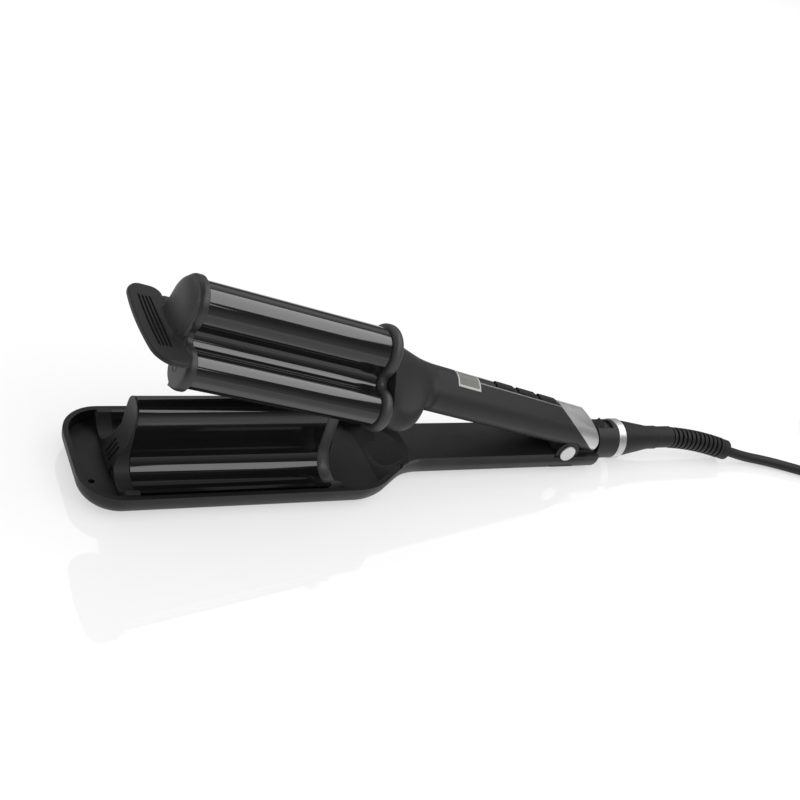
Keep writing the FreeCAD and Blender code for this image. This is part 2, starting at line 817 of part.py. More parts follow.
tip_cap = body("tip_cap")
cap_front = barrel_front - s.rim_length
pad(tip_cap, hat_sketch(tip_cap, cap_front, s.rim_proud, s.rim_waist), s.rim_length)
tip_screws = []
tip_bores = []
for name, side in (("far", 1), ("near", -1)):
    spot_y = s.half_pitch * side
    tip_bores.append(rod("tip_bore_" + name, "x", (cap_front - PAST, spot_y, s.roll_height),
                         s.cap_screw_radius + s.side_gap, s.cap_screw_depth + PAST))
    tip_screws.append(rod("tip_screw_" + name, "x", (cap_front + s.cap_screw_sink, spot_y, s.roll_height),
                          s.cap_screw_radius, s.cap_screw_thick))
cool_floor = s.cool_tip_top - s.cool_tip_thick
cavity_half = s.half_pitch - s.roll_radius
face_half = cavity_half + s.face_wall / 2
cap_face = join("cap_face", rod("hump_round", "x", (cap_front, 0, s.hump_height), s.hump_radius,
                                s.rim_length),
                block("hump_side", (cap_front, barrel_front), (-face_half, face_half),
                      (cool_floor, s.hump_height)))
room_front = cap_front + s.face_wall
ridge_room = join("ridge_room", rod("ridge_room_round", "x", (room_front, 0, s.ridge_height), cavity_half,
                                    s.rim_length),
                  block("ridge_room_wall", (room_front, room_front + s.rim_length),
                        (-cavity_half, cavity_half),
                        (-PAST, s.ridge_height)))
upper(cut("tip_cap_bored", join("tip_cap_whole", tip_cap, cap_face), ridge_room, *tip_bores),
      "barrel_tip_cap")
upper(group("tip_screw_pair", *tip_screws), "tip_cap_screws")


# cool tip: a ribbed finger rest in front of the barrel

cool = body("cool_slab")
cool_sketch = sketch_on(cool, "XY_Plane", cool_floor)
cool_front = cap_front - s.cool_tip_length
cool_back = cap_front - s.side_gap
polygon(cool_sketch, [(cool_front, -s.cool_tip_half), (cool_back, -s.cool_tip_half),
                      (cool_back, s.cool_tip_half),
                      (cool_front, s.cool_tip_half)])
cool_slab = pad(cool, cool_sketch, s.cool_tip_thick)
rounded(cool, cool_slab, s.cool_tip_corner, lambda edge: upright(edge, cool_front, s.cool_tip_half))
grooves = []
groove_half = s.cool_tip_half - s.rib_margin
for index in range(int(float(s.rib_count))):
    groove_x = cool_front + s.rib_start + s.rib_pitch * index
    grooves.append(block(f"groove_{index}", (groove_x, groove_x + s.rib_width), (-groove_half, groove_half),
                         (s.cool_tip_top - s.rib_depth, s.cool_tip_top + PAST)))
upper(cut("cool_tip_ribbed", cool, *grooves), "cool_tip")


# shoulder: a smooth bulky neck between the collar and the handle


def bell_sketch(owner, start, top_radius, top_height, foot_radius, foot_centre):
    """The hull of a crown circle and two foot circles, with a flat between the feet."""
    sketch = sketch_on(owner, "YZ_Plane", start)
    crown = Vector(0, float(sized(top_height)), 0)
    foot = Vector(float(sized(foot_centre[0])), float(sized(foot_centre[1])), 0)
    big, small = float(sized(top_radius)), float(sized(foot_radius))
    along = foot - crown
    lean = math.degrees(math.atan2(along.y, along.x))
    turn = lean + math.degrees(math.acos((big - small) / along.Length))
    point = Vector(math.cos(math.radians(turn)), math.sin(math.radians(turn)), 0)
    flat = foot.y - small
    bottom = line(sketch, (-foot.x, flat), (foot.x, flat))
    far_foot = held_arc(sketch, foot_centre, foot_radius, -90, turn)
    start_point = foot + point * small
    end_point = crown + point * big
    far_side = line(sketch, (start_point.x, start_point.y), (end_point.x, end_point.y))
    top = held_arc(sketch, (0, top_height), top_radius, turn, 180 - turn)
    near_side = line(sketch, (-end_point.x, end_point.y), (-start_point.x, start_point.y))
    near_foot = held_arc(sketch, (-foot_centre[0], foot_centre[1]), foot_radius, 180 - turn, 270)
    meet(sketch, bottom, 2, far_foot, 1)
    meet(sketch, far_foot, 2, far_side, 1)
    meet(sketch, far_side, 2, top, 1)
    meet(sketch, top, 2, near_side, 1)
    meet(sketch, near_side, 2, near_foot, 1)
    meet(sketch, near_foot, 2, bottom, 1)
    return sketch


foot_in = s.handle_half - s.handle_round
foot_up = s.handle_floor + s.handle_round
shoulder = body("shoulder")
shoulder_front = -s.barrel_back + s.collar_width
crown_front = s.crown_height + s.crown_rise
foot_front = (foot_in, foot_up + s.floor_rise)
neck_sections = [
    bell_sketch(shoulder, shoulder_front, s.shoulder_crown, s.shoulder_top, s.shoulder_foot,
                (s.shoulder_side, s.shoulder_rise)),
    bell_sketch(shoulder, -s.ball_back, s.ball_crown, s.ball_top, s.shoulder_foot, (s.ball_side, s.ball_rise)),
    bell_sketch(shoulder, -s.shoulder_back - s.shoulder_waist, s.waist_crown, s.waist_top, s.shoulder_foot,
                (s.waist_side, s.waist_rise)),
    bell_sketch(shoulder, -s.shoulder_back - s.shoulder_ease, s.crown_radius + s.ease_proud, crown_front,
                s.handle_round, foot_front),
    bell_sketch(shoulder, -s.shoulder_back, s.crown_radius, crown_front, s.handle_round, foot_front),
]
loft = shoulder.newObject("PartDesign::AdditiveLoft", "shoulder_loft")
loft.Profile = neck_sections[0]
loft.Sections = neck_sections[1:]
upper(shoulder, "shoulder")


# handle: one long section cut by a side outline, then split into shell, base, panel and trim


def handle_bar(name, inset):
    """The handle drawn in by an inset, run the whole length of the arm; it is taller towards the shoulder."""
    owner = body(name)
    front = bell_sketch(owner, -s.shoulder_back + inset, s.crown_radius - inset, crown_front,
                        s.handle_round - inset,
                        foot_front)
    rear = bell_sketch(owner, s.handle_rear - inset, s.crown_radius - inset, s.crown_height,
                       s.handle_round - inset,
                       (foot_in, foot_up))
    bar = owner.newObject("PartDesign::AdditiveLoft", name + "_loft")
    bar.Profile = front
    bar.Sections = [rear]
    return owner


def end_lean_at(x):
    """How high the leaning underside lies at a place behind the pin."""
    return x * Size(math.tan(math.radians(float(s.end_lean))), "tan(Sizes.end_lean * 1 deg)")


bar_front = -s.shoulder_back - PAST
rear_top = s.crown_height + s.crown_radius + PAST
front_top = rear_top + s.crown_rise


def side_view(name, corners):
    """A slab as wide as the handle with an outline drawn from the side."""
    owner = body(name)
    sketch = sketch_on(owner, "XZ_Plane")
    polygon(sketch, corners)
    return owner, pad(owner, sketch, s.handle_half * 3, True)


full_bar = handle_bar("handle_bar", sized(0))
inner_bar = handle_bar("handle_hollow", s.shell_wall)
rear_foot = end_lean_at(s.handle_rear)
outline_long, long_slab = side_view("outline_long", [(bar_front, 0), (0, 0), (s.handle_rear, rear_foot),
                                                     (s.handle_rear, rear_top), (bar_front, front_top)])
rounded(outline_long, long_slab, s.end_corner, lambda edge: edge.BoundBox.YLength > 1
        and abs(edge.BoundBox.Center.x - float(s.handle_rear)) < 0.01
        and abs(edge.BoundBox.Center.z - float(rear_top)) < 0.01)
slant_top = rear_top * 2 - rear_foot
slant_end = -s.trim_front * 2 - s.handle_rear
outline_short, _ = side_view("outline_short", [(bar_front, 0), (0, 0), (s.handle_rear, rear_foot),
                                               (slant_end, slant_top), (bar_front, slant_top)])
ear_reach = s.handle_half - s.knuckle_half + PAST
ear_room = [rod("ear_room_far", "y", (0, s.knuckle_half, 0), s.knuckle_radius + s.turn_gap, ear_reach),
            rod("ear_room_near", "y", (0, -s.knuckle_half - ear_reach, 0), s.knuckle_radius + s.turn_gap,
                ear_reach)]

handle_solid = shared("handle_solid", full_bar, outline_short)
bar_span = (-s.shoulder_back - PAST, s.handle_rear + PAST)
full_width = (-s.handle_half - PAST, s.handle_half + PAST)
above = block("above_base", bar_span, full_width, (s.base_top, above_all))
hollow_back = -s.knuckle_radius - s.shell_wall * 2
hollow = shared("shell_hollow", inner_bar,
                block("hollow_span", (-s.shoulder_back + s.shell_wall, hollow_back), full_width,
                      (0, above_all)))
window_front = -s.shoulder_back + s.window_setback
window_span = (window_front, window_front + s.window_length)
panel_span = (window_span[1], -s.panel_back)
panel_room = block("panel_room", panel_span, (-s.panel_half, s.panel_half), (s.panel_floor, above_all))
window_room = block("window_room", window_span, (-s.window_half, s.window_half),
                    (s.panel_floor - s.window_drop, above_all))


def key_span(index, gap):
    """Where a key starts and ends along the handle, with a gap all round for its slot."""
    front = -s.key_front + s.key_pitch * index
    return front - gap, front + s.key_length + gap


def key_block(name, index, gap, low, high):
    half = s.key_half + gap
    return block(name, key_span(index, gap), (-half, half), (low, high))


key_total = int(float(s.key_count))
key_slots = [key_block(f"key_slot_{i}", i, s.key_gap, s.crown_height, above_all) for i in range(key_total)]
display_span = (window_span[0] + s.display_inset, window_span[1] - s.display_inset)
hidden_room = block("display_room", (display_span[0] - s.side_gap, display_span[1] + s.side_gap),
                    (-s.display_half - s.side_gap, s.display_half + s.side_gap), (s.crown_height, above_all))
shell_block = shared("shell_block", handle_solid, above)
knuckle_room = rod("knuckle_room", "y", (0, full_width[0], 0), s.knuckle_radius + s.fit_gap,
                   full_width[1] * 2)
upper(cut("shell_cut", shell_block, hollow, panel_room, window_room, hidden_room, *key_slots, *ear_room,
          knuckle_room),
      "handle_shell")

below = block("below_base", bar_span, full_width, (-PAST, s.base_top))
knuckle = rod("knuckle", "y", (0, -s.knuckle_half, 0), s.knuckle_radius, s.knuckle_half * 2)
base_plate = cut("base_plate", shared("base_block", handle_solid, below), hollow, *ear_room)
board_level = s.handle_floor + s.board_rise
post_places = (-s.board_front + s.post_inset, -s.board_back - s.post_inset)
posts = [shared(f"board_post_{i}", rod(f"post_bar_{i}", "z", (x, 0, 0), s.post_radius, board_level), full_bar)
         for i, x in enumerate(post_places)]
spring_half = (s.spring_pitch * s.spring_turns + s.spring_wire) / 2
room_half = spring_half + s.side_gap
spring_room = rod("spring_room", "y", (0, -room_half, 0), s.spring_radius + s.spring_wire / 2 + s.side_gap,
                  room_half * 2)
upper(cut("base_bored", join("base_whole", base_plate, knuckle, *posts),
          pin_bore("knuckle_bore", s.handle_half),
          spring_room), "handle_base")

trim_block = cut("trim_block", shared("trim_bar", full_bar, outline_long), outline_short, *ear_room,
                 knuckle_room)
upper(trim_block, "end_trim")


# gloss panel with its two silver lines, display and keys

panel_bar = shared("panel_bar", full_bar, outline_short,
                   block("panel_box", panel_span, (-s.panel_half, s.panel_half),
                         (s.panel_floor, above_all)))
line_inner = s.panel_half - s.line_width
panel_body = shared("panel_body", panel_bar,
                    block("panel_middle", panel_span, (-line_inner, line_inner), (0, above_all)))
upper(cut("panel_cut", panel_body, window_room, *key_slots), "top_panel")
line_boxes = [block("line_far", panel_span, (line_inner, s.panel_half), (0, above_all)),
              block("line_near", panel_span, (-s.panel_half, -line_inner), (0, above_all))]
upper(cut("lines_cut", group("line_pair", *[shared(f"line_{i}", panel_bar, box) for i,
                                            box in enumerate(line_boxes)]),
          window_room), "panel_lines")

frame_bar = shared("frame_bar", full_bar, block("frame_box", window_span, (-s.window_half, s.window_half),
                                                (s.panel_floor - s.window_drop, above_all)))
pane_span = (window_span[0] + s.frame_band, window_span[1] - s.frame_band)
pane_half = s.window_half - s.frame_band
pane_room = block("pane_room", pane_span, (-pane_half, pane_half), (0, above_all))
upper(cut("frame_cut", frame_bar, pane_room), "display_frame")
lens_bar = shared("lens_bar", frame_bar, block("lens_box", pane_span, (-pane_half, pane_half),
                                               (0, above_all)))
upper(lens_bar, "display_window")

board_top = board_level + s.board_thick
upper(block("board", (-s.board_front, -s.board_back), (-s.board_half, s.board_half),
            (board_level, board_top)),
      "control_board")
upper(block("display", display_span, (-s.display_half, s.display_half),
            (board_top, s.panel_floor - s.window_drop)),
      "display_module")
key_skin = handle_bar("key_skin", -s.key_proud)
key_names = ("key_minus", "key_power", "key_plus")
key_foot = board_top + s.switch_height + s.key_travel + s.key_rest
switches = []
for index in range(key_total):
    key = key_block(f"key_bar_{index}", index, sized(0), key_foot, above_all)
    upper(shared(f"key_{index}", key, key_skin), key_names[index])
    middle = -s.key_front + s.key_pitch * index + s.key_length / 2
    switches.append(block(f"switch_{index}", (middle - s.switch_half, middle + s.switch_half),
                          (-s.switch_side, s.switch_side), (board_top, board_top + s.switch_height)))
upper(group("switch_set", *switches), "key_switches")


# hinge pin, its two discs and the opening spring

lower(rod("pin", "y", (0, -s.ear_outer, 0), s.pin_radius, s.ear_outer * 2), "hinge_pin")
for name, side in (("far", 1), ("near", -1)):
    start = s.ear_outer if side > 0 else -(s.ear_outer + s.disc_thick)
    disc = rod("disc_" + name, "y", (0, start, 0), s.disc_radius, s.disc_thick)
    lower(disc, f"pin_disc_{name}")


# swivel housing behind the casing, its silver ring and the sliding lock

centre_z = -s.swivel_drop
drum = rod("drum", "x", (s.casing_rear + s.side_gap, 0, centre_z), s.swivel_radius,
           s.swivel_back - s.casing_rear - s.side_gap)
plug_half = s.handle_half - s.casing_wall - s.side_gap
tail_block = block("tail_block", (s.knuckle_radius + s.cover_setback,
                                  s.casing_rear - s.casing_wall - s.side_gap),
                   (-plug_half, plug_half), (-s.dish_depth + s.fit_gap, 0))
tail_neck = rod("tail_neck", "x", (s.casing_rear - s.casing_wall - s.side_gap - s.tail_lap, 0, -s.tail_drop),
                s.tail_radius,
                s.casing_wall + s.side_gap * 2 + s.tail_lap * 2)
recess_top = centre_z + s.swivel_radius
recess = block("lock_recess", (s.lock_front, s.lock_front + s.lock_recess),
               (-s.lock_half - s.side_gap, s.lock_half + s.side_gap),
               (recess_top - s.lock_step, above_all))
swivel_bore = rod("swivel_bore", "x", (s.swivel_back - s.neck_depth - s.side_gap, 0, centre_z),
                  s.neck_radius + s.neck_gap,
                  s.neck_depth * 2)
lower(cut("housing", join("housing_whole", drum, tail_block, tail_neck), recess, swivel_bore),
      "swivel_housing")

lock_start = s.lock_front + (s.lock_recess - s.lock_length - s.lock_travel) / 2
lock_floor = recess_top - s.lock_step + s.fit_gap
lock_crest = lock_floor + s.lock_bump
lock_base = block("lock_base", (lock_start, lock_start + s.lock_length), (-s.lock_half, s.lock_half),
                  (lock_floor, lock_floor + s.lock_plate))
lock_wedge = body("lock_wedge")
wedge_sketch = sketch_on(lock_wedge, "XZ_Plane")
polygon(wedge_sketch, [(lock_start, lock_floor + s.lock_plate / 2),
                       (lock_start + s.lock_length, lock_floor + s.lock_plate / 2),
                       (lock_start + s.lock_length / 2, lock_crest)])
pad(lock_wedge, wedge_sketch, s.lock_half * 2 - s.lock_plate, True)
lower(join("lock", lock_base, lock_wedge), "lock_slider")

ring_outer = rod("ring_outer", "x", (s.swivel_back, 0, centre_z), s.ring_radius, s.ring_width)
ring_inner = rod("ring_inner", "x", (s.swivel_back - PAST, 0, centre_z), s.neck_radius + s.neck_gap,
                 s.ring_width + PAST * 2)
lower(cut("ring", ring_outer, ring_inner), "swivel_ring")

ring_back = s.swivel_back + s.ring_width
cone_front = ring_back + s.side_gap + s.flange_thick
boot_parts = [
    rod("boot_neck", "x", (s.swivel_back - s.neck_depth, 0, centre_z), s.neck_radius,
        s.neck_depth + s.ring_width + PAST),
    rod("boot_flange_disc", "x", (ring_back + s.side_gap, 0, centre_z), s.boot_flange, s.flange_thick),
    cone("boot_cone", "x", (cone_front, 0, centre_z), s.boot_flange, s.boot_throat, s.cone_length),
    rod("boot_throat_rod", "x", (cone_front + s.cone_length, 0, centre_z), s.boot_throat,
        s.boot_cone_back - cone_front - s.cone_length),
]
lower(join("boot_whole", *boot_parts), "cord_boot")


# strain relief: a bent sleeve with ribs, from the boot's throat to the cord


def solid(name, shape, label):
    """A finished piece in the arm's own frame whose shape is worked out in this script."""
    feature = doc.addObject("Part::Feature", name)
    feature.Shape = shape
    feature.Label = label
    NODES.append(feature)
    return feature


start_point = Vector(float(pin_x + s.boot_cone_back), 0, float(s.pin_height + centre_z))
roll = math.radians(float(s.relief_roll))
sag = Vector(0, -math.cos(roll), -math.sin(roll))
turn = math.radians(float(s.relief_turn))
bend_radius = float(s.relief_length) / turn


def relief_point(angle):
    """A point and a direction on the strain relief's centre line, which bends down and to the near side."""
    place = start_point + Vector(bend_radius * math.sin(angle), 0,
                                 0) + sag * (bend_radius * (1 - math.cos(angle)))
    return place, Vector(math.cos(angle), 0, 0) + sag * math.sin(angle)


def start_of(path):
    """The first point of a path and its direction there."""
    edge = path.OrderedEdges[0]
    return edge.valueAt(edge.FirstParameter), edge.tangentAt(edge.FirstParameter)


def tube(path, radius):
    """A round tube along a path, which starts square to it."""
    circle = Part.Wire([Part.makeCircle(radius, *start_of(path))])
    return path.makePipeShell([circle], True, False)


def flat_wire(path, side):
    """A wire of square section along a path."""
    begin, direction = start_of(path)
    across = direction.cross(Vector(0, 1, 0)).normalize() * (side / 2)
    along = across.cross(direction)
    corners = [begin + across + along, begin - across + along, begin - across - along, begin + across - along]
    return path.makePipeShell([Part.makePolygon([*corners, corners[0]])], True, False)


def disc_at(angle, radius, thick):
    place, direction = relief_point(angle)
    return Part.makeCylinder(radius, thick, place, direction)


RIB_START = 0.25
RIB_SHARE = 0.6
first, _ = relief_point(0)
middle, _ = relief_point(turn / 2)
cord_exit, exit_direction = relief_point(turn)
relief = tube(Part.Wire([Part.Arc(first, middle, cord_exit).toShape()]), float(s.relief_core))
rib_total = int(float(s.relief_count))
collar_angle = turn - float(s.relief_collar) / bend_radius
sleeve_angle = float(s.relief_sleeve) / bend_radius
rib_angle = (collar_angle - sleeve_angle) / rib_total
relief = relief.fuse(disc_at(0, float(s.relief_neck), float(s.relief_sleeve)))
for index in range(rib_total):
    rib_place = sleeve_angle + rib_angle * (index + RIB_START)
    relief = relief.fuse(disc_at(rib_place, float(s.relief_rib), rib_angle * bend_radius * RIB_SHARE))
end_collar = disc_at(collar_angle, float(s.relief_end), float(s.relief_collar))
solid("relief", relief.fuse(end_collar).removeSplitter(), "strain_relief")


# cord: a short run along the table and a put-away coil behind the object

cord_radius = float(s.cord_diameter) / 2
lay = cord_radius + 0.05
tie_floor = float(s.tie_thick) + 0.05


def arc_through(begin, direction, end):
    """The arc that leaves a point in a direction and ends at another point."""
    chord = end - begin
    unit = chord / chord.Length
    bulge = direction - unit * direction.dot(unit)
    if bulge.Length < 1e-7:
        return Part.LineSegment(begin, end).toShape()
    half = math.atan2(bulge.Length, direction.dot(unit))
    crest = begin + chord * 0.5 + bulge / bulge.Length * (chord.Length / 2 * math.tan(half / 2))
    return Part.Arc(begin, crest, end).toShape()


def two_arcs(begin, leaving, end, arriving):
    """Two tangent arcs from one point and direction to another."""
    leap = end - begin
    both = leaving + arriving
    spread = 2 * (1 - leaving.dot(arriving))
    lean = leap.dot(both)
    if spread < 1e-9:
        step = leap.dot(leap) / (2 * lean)
    else:
        step = (math.sqrt(lean * lean + spread * leap.dot(leap)) - lean) / spread
    joint = (begin + leaving * step + end - arriving * step) * 0.5
    back = arc_through(end, -arriving, joint)
    return [arc_through(begin, leaving, joint), back]


RUN_SHARE = 0.45


def smooth_run(points):
    """Straight runs joined by tangent arcs; each arc is as large as its two runs allow."""
    edges = []
    here = points[0]
    radii = []
    for before, corner, after in zip(points, points[1:], points[2:]):
        arriving = (corner - before).normalize()
        leaving = (after - corner).normalize()
        bend = arriving.getAngle(leaving)
        reach = RUN_SHARE * min((corner - before).Length, (after - corner).Length)
        begin = corner - arriving * reach
        end = corner + leaving * reach
        edges.append(Part.LineSegment(here, begin).toShape())
        edges.append(arc_through(begin, arriving, end))
        radii.append(round(reach / math.tan(bend / 2), 1))
        here = end
    edges.append(Part.LineSegment(here, points[-1]).toShape())
    return edges, radii


COIL_HEADING = -22
coil_step = float(s.cord_diameter + s.coil_gap)
turns = float(s.coil_turns)
coil_outer = float(s.coil_inner) + turns * coil_step
coil_start = Vector(342, -57, lay + tie_floor)
heading = math.radians(COIL_HEADING)
coil_centre = coil_start + Vector(-math.sin(heading), math.cos(heading), 0) * coil_outer


def coil_point(quarter):
    """A point and a direction on the coil: in along the table, up in a half turn, and out on top."""
    inward = turns * 4
    angle = heading - math.pi / 2 + quarter * math.pi / 2
    growth = coil_step / 4
    if quarter <= inward:
        radius, grow, height, rise = coil_outer - growth * quarter, -growth, 0, 0
    elif quarter <= inward + 2:
        share = (quarter - inward) / 2
        radius = float(s.coil_inner) - growth * (1 - abs(2 * share - 1))
        grow = growth * (2 * share - 1)
        height = coil_step * (1 - math.cos(math.pi * share)) / 2
        rise = coil_step * math.pi * math.sin(math.pi * share) / 4
    else:
        radius, grow = float(s.coil_inner) + growth * (quarter - inward - 2), growth
        height, rise = coil_step, 0
    out = Vector(math.cos(angle), math.sin(angle), 0)
    along = Vector(-math.sin(angle), math.cos(angle), 0)
    place = coil_centre + out * radius + Vector(0, 0, height)
    return place, (along * (radius * math.pi / 2) + out * grow + Vector(0, 0, rise)).normalize()


quarters = turns * 8 + 2
marks = [*range(int(quarters) + 1), quarters + 4 * float(s.coil_over)]
coil_edges = []
stations = [coil_point(mark) for mark in marks]
stations[0] = (stations[0][0], Vector(math.cos(heading), math.sin(heading), 0))
for (place, direction), (after, direction_after) in zip(stations, stations[1:]):
    coil_edges += two_arcs(place, direction, after, direction_after)
coil_end, coil_leaving = stations[-1]
coil_lead = stations[0][0] - stations[0][1] * float(s.cord_diameter)
coil_tail = coil_end + coil_leaving * float(s.cord_diameter)
coil_path = Part.Wire(Part.__sortEdges__([Part.LineSegment(coil_lead, stations[0][0]).toShape(), *coil_edges,
                                          Part.LineSegment(coil_end, coil_tail).toShape()]))
coil_tube = tube(coil_path, cord_radius)
solid("coil", coil_tube, "cord_coil")


SAMPLE_STEP = 3.0
LEAST_APART = 60.0


def least_self_gap(path):
    """The least distance between parts of a path that lie well apart along it."""
    points = path.discretize(Distance=SAMPLE_STEP)
    skip = int(LEAST_APART / SAMPLE_STEP)
    return min((a - b).Length for i, a in enumerate(points) for b in points[i + skip:])


gap = least_self_gap(coil_path) - 2 * cord_radius
print("coil: length", round(coil_path.Length, 1), "least gap to itself", round(gap, 2))

ROUTE = [
    cord_exit,
    cord_exit + exit_direction * 14,
    Vector(249, -15, lay + 0.4),
    Vector(270, -24, lay),
    Vector(292, -35, lay),
    coil_lead - Vector(math.cos(heading), math.sin(heading), 0) * 20 - Vector(0, 0, 0.5),
    coil_lead,
]
run_edges, run_radii = smooth_run(ROUTE)
run_path = Part.Wire(run_edges)
run_tube = tube(run_path, cord_radius)
print("cord exit", [round(v, 2) for v in cord_exit], "lead", [round(v, 2) for v in coil_lead], "pin",
      round(float(pin_x), 3))
print("cord run: length", round(run_path.Length, 1), "radii", run_radii)
solid("run", run_tube, "cord_run")

plug_height = float(s.plug_radius) + 0.05
TAIL = [
    coil_tail,
    coil_tail + coil_leaving * 13 - Vector(0, 0, 0.4),
    coil_tail + coil_leaving * 26 + Vector(0, 0, plug_height - coil_tail.z - 0.6),
    coil_tail + coil_leaving * 37 + Vector(0, 0, plug_height - coil_tail.z),
]
tail_edges, tail_radii = smooth_run(TAIL)
tail_path = Part.Wire(tail_edges)
print("cord tail: length", round(tail_path.Length, 1), "radii", tail_radii)
solid("tail", tube(tail_path, cord_radius), "cord_tail")


# tie round the coil, and the plug with its two round pins

TIE_TURN = 60
tie_angle = heading + math.radians(TIE_TURN)
tie_out = Vector(math.cos(tie_angle), math.sin(tie_angle), 0)
tie_across = Vector(-math.sin(tie_angle), math.cos(tie_angle), 0)
tie_gap = float(s.tie_gap)
tie_inner = float(s.coil_inner) - coil_step / 4 - cord_radius - tie_gap
tie_outer = coil_outer + cord_radius + tie_gap
tie_wide = float(s.tie_width)
tie_thick = float(s.tie_thick)
tie_tall = coil_start.z + coil_step + cord_radius + tie_gap


def tie_box(grow, low, high, wide):
    """A box across the coil's bundle, square to its turns."""
    box = Part.makeBox(tie_outer - tie_inner + 2 * grow, wide, high - low)
    corner = coil_centre + tie_out * (tie_inner - grow) - tie_across * (wide / 2)
    box.Placement = Placement(Vector(corner.x, corner.y, low),
                              Rotation(Vector(0, 0, 1), math.degrees(tie_angle)))
    return box


tie_loop = tie_box(tie_thick, 0, tie_tall + tie_thick,
                   tie_wide).cut(tie_box(0, tie_thick, tie_tall, tie_wide + 2))
solid("tie", tie_loop, "cord_tie")

plug_place = TAIL[-1]
plug_direction = Vector(coil_leaving.x, coil_leaving.y, 0).normalize()
plug_long = s.plug_length
plug_profile = [(0, 0), (0, s.plug_neck), (s.plug_waist_at, s.plug_waist), (s.plug_swell_at, s.plug_swell),
                (s.plug_full_at, s.plug_radius), (plug_long - s.plug_edge, s.plug_radius),
                (plug_long, s.plug_radius - s.plug_edge), (plug_long, 0)]
plug_corners = [Vector(float(x), float(r), 0) for x, r in plug_profile]
plug_face = Part.Face(Part.makePolygon([*plug_corners, plug_corners[0]]))
plug_turn = Rotation(Vector(1, 0, 0), plug_direction)
plug_body = plug_face.revolve(Vector(), Vector(1, 0, 0), 360)
plug_body.Placement = Placement(plug_place, plug_turn)
solid("plug", plug_body, "plug_body")
prongs = []
for side in (-1, 1):
    foot = Vector(float(plug_long), side * float(s.prong_spread), 0)
    prong = Part.makeCylinder(float(s.prong_radius), float(s.prong_length), foot, Vector(1, 0, 0))
    prong.Placement = Placement(plug_place, plug_turn).multiply(prong.Placement)
    prongs.append(prong)
solid("prongs", Part.makeCompound(prongs), "plug_pins")


# opening spring: a torsion spring of flat wire on the hinge pin, inside the knuckle

spring_mean = float(s.spring_radius)
spring_pitch = float(s.spring_pitch)
spring_quarters = int(4 * float(s.spring_turns))
spring_start = -spring_pitch * float(s.spring_turns) / 2
pin_centre = Vector(float(pin_x), 0, float(s.pin_height))


def spring_point(quarter):
    """A point and a direction along the spring."""
    angle = quarter * math.pi / 2
    out = Vector(math.cos(angle), 0, math.sin(angle))
    along = Vector(-math.sin(angle), 0, math.cos(angle))
    place = pin_centre + out * spring_mean + Vector(0, spring_start + spring_pitch * quarter / 4, 0)
    return place, (along * (spring_mean * math.pi / 2) + Vector(0, spring_pitch / 4, 0)).normalize()


spring_edges = []
spring_stations = [spring_point(index) for index in range(spring_quarters + 1)]
for (place, direction), (after, direction_after) in zip(spring_stations, spring_stations[1:]):
    spring_edges += two_arcs(place, direction, after, direction_after)
spring_path = Part.Wire(Part.__sortEdges__(spring_edges))
solid("spring", flat_wire(spring_path, float(s.spring_wire)), "opening_spring")
for path, shape, name in ((run_path, run_tube, "run"), (coil_path, coil_tube, "coil")):
    print(name, "volume against section times length",
          round(shape.Volume / (math.pi * cord_radius ** 2 * path.Length), 4))


doc.recompute()
FAULTY = [thing.Name for thing in doc.Objects if "Invalid" in thing.State or "Error" in thing.State]
if FAULTY:
    raise RuntimeError(f"objects that did not build: {FAULTY}")
for thing in NODES:
    if thing.Shape.isNull() or not thing.Shape.isValid() or not thing.Shape.Solids:
        raise RuntimeError(f"{thing.Label} is not a sound solid")
os.makedirs("parts", exist_ok=True)
for thing in NODES:
    thing.Shape.exportStep(f"parts/{thing.Label}.step")
print(len(NODES), "nodes")
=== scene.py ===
# %% [markdown]
# # A hair waver, dressed for its portrait
# The tool lies on its back with its jaws open. The solids from the CAD model are the frame: they hold
# every size and joint. This script gives each surface the finish of the real one, and replaces the
# pieces whose curves need more than flat facets with surfaces worked out in numpy.

import json
import math

import bmesh
import bpy
import numpy as np
from mathutils import Matrix, Vector


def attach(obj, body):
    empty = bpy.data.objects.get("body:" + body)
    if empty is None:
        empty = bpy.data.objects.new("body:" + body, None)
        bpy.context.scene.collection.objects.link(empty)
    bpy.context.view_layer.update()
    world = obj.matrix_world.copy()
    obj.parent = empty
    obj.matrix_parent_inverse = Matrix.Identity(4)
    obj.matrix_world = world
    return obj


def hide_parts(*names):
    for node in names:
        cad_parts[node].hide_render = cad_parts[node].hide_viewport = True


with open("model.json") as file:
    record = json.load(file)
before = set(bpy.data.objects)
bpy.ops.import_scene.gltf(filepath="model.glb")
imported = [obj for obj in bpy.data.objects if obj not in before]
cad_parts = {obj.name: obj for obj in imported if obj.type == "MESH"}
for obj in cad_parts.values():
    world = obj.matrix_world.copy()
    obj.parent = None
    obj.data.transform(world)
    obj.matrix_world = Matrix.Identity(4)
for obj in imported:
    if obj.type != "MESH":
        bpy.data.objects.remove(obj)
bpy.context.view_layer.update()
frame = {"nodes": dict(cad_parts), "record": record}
nodes = frame["nodes"]
print("nodes in the frame:", len(nodes))

# %% [markdown]
# ## Units and the two arms
# The real tool is drawn in millimetres round its hinge pin: X runs back to the cord, Y across, Z up.
# The lower arm is only lifted by the pin's height. The upper arm also turns open about the pin. Two
# small functions do that for whole arrays of points, so that every shape below can be written in the
# pin's own frame and still lands on the frame's solids.

# %% Sizes of the frame
MM = 0.001
hinge = next(joint for joint in frame["record"]["behaviour"]["joints"] if joint["name"] == "jaw_hinge")
PIN = np.array(hinge["pos_m"]) / MM
OPENING = math.radians(-hinge["range_deg"][0])


def on_lower(points):
    """Points of the pin's frame, in millimetres, as points on the lower arm in metres: p + pin."""
    return (np.asarray(points, float) + PIN) * MM


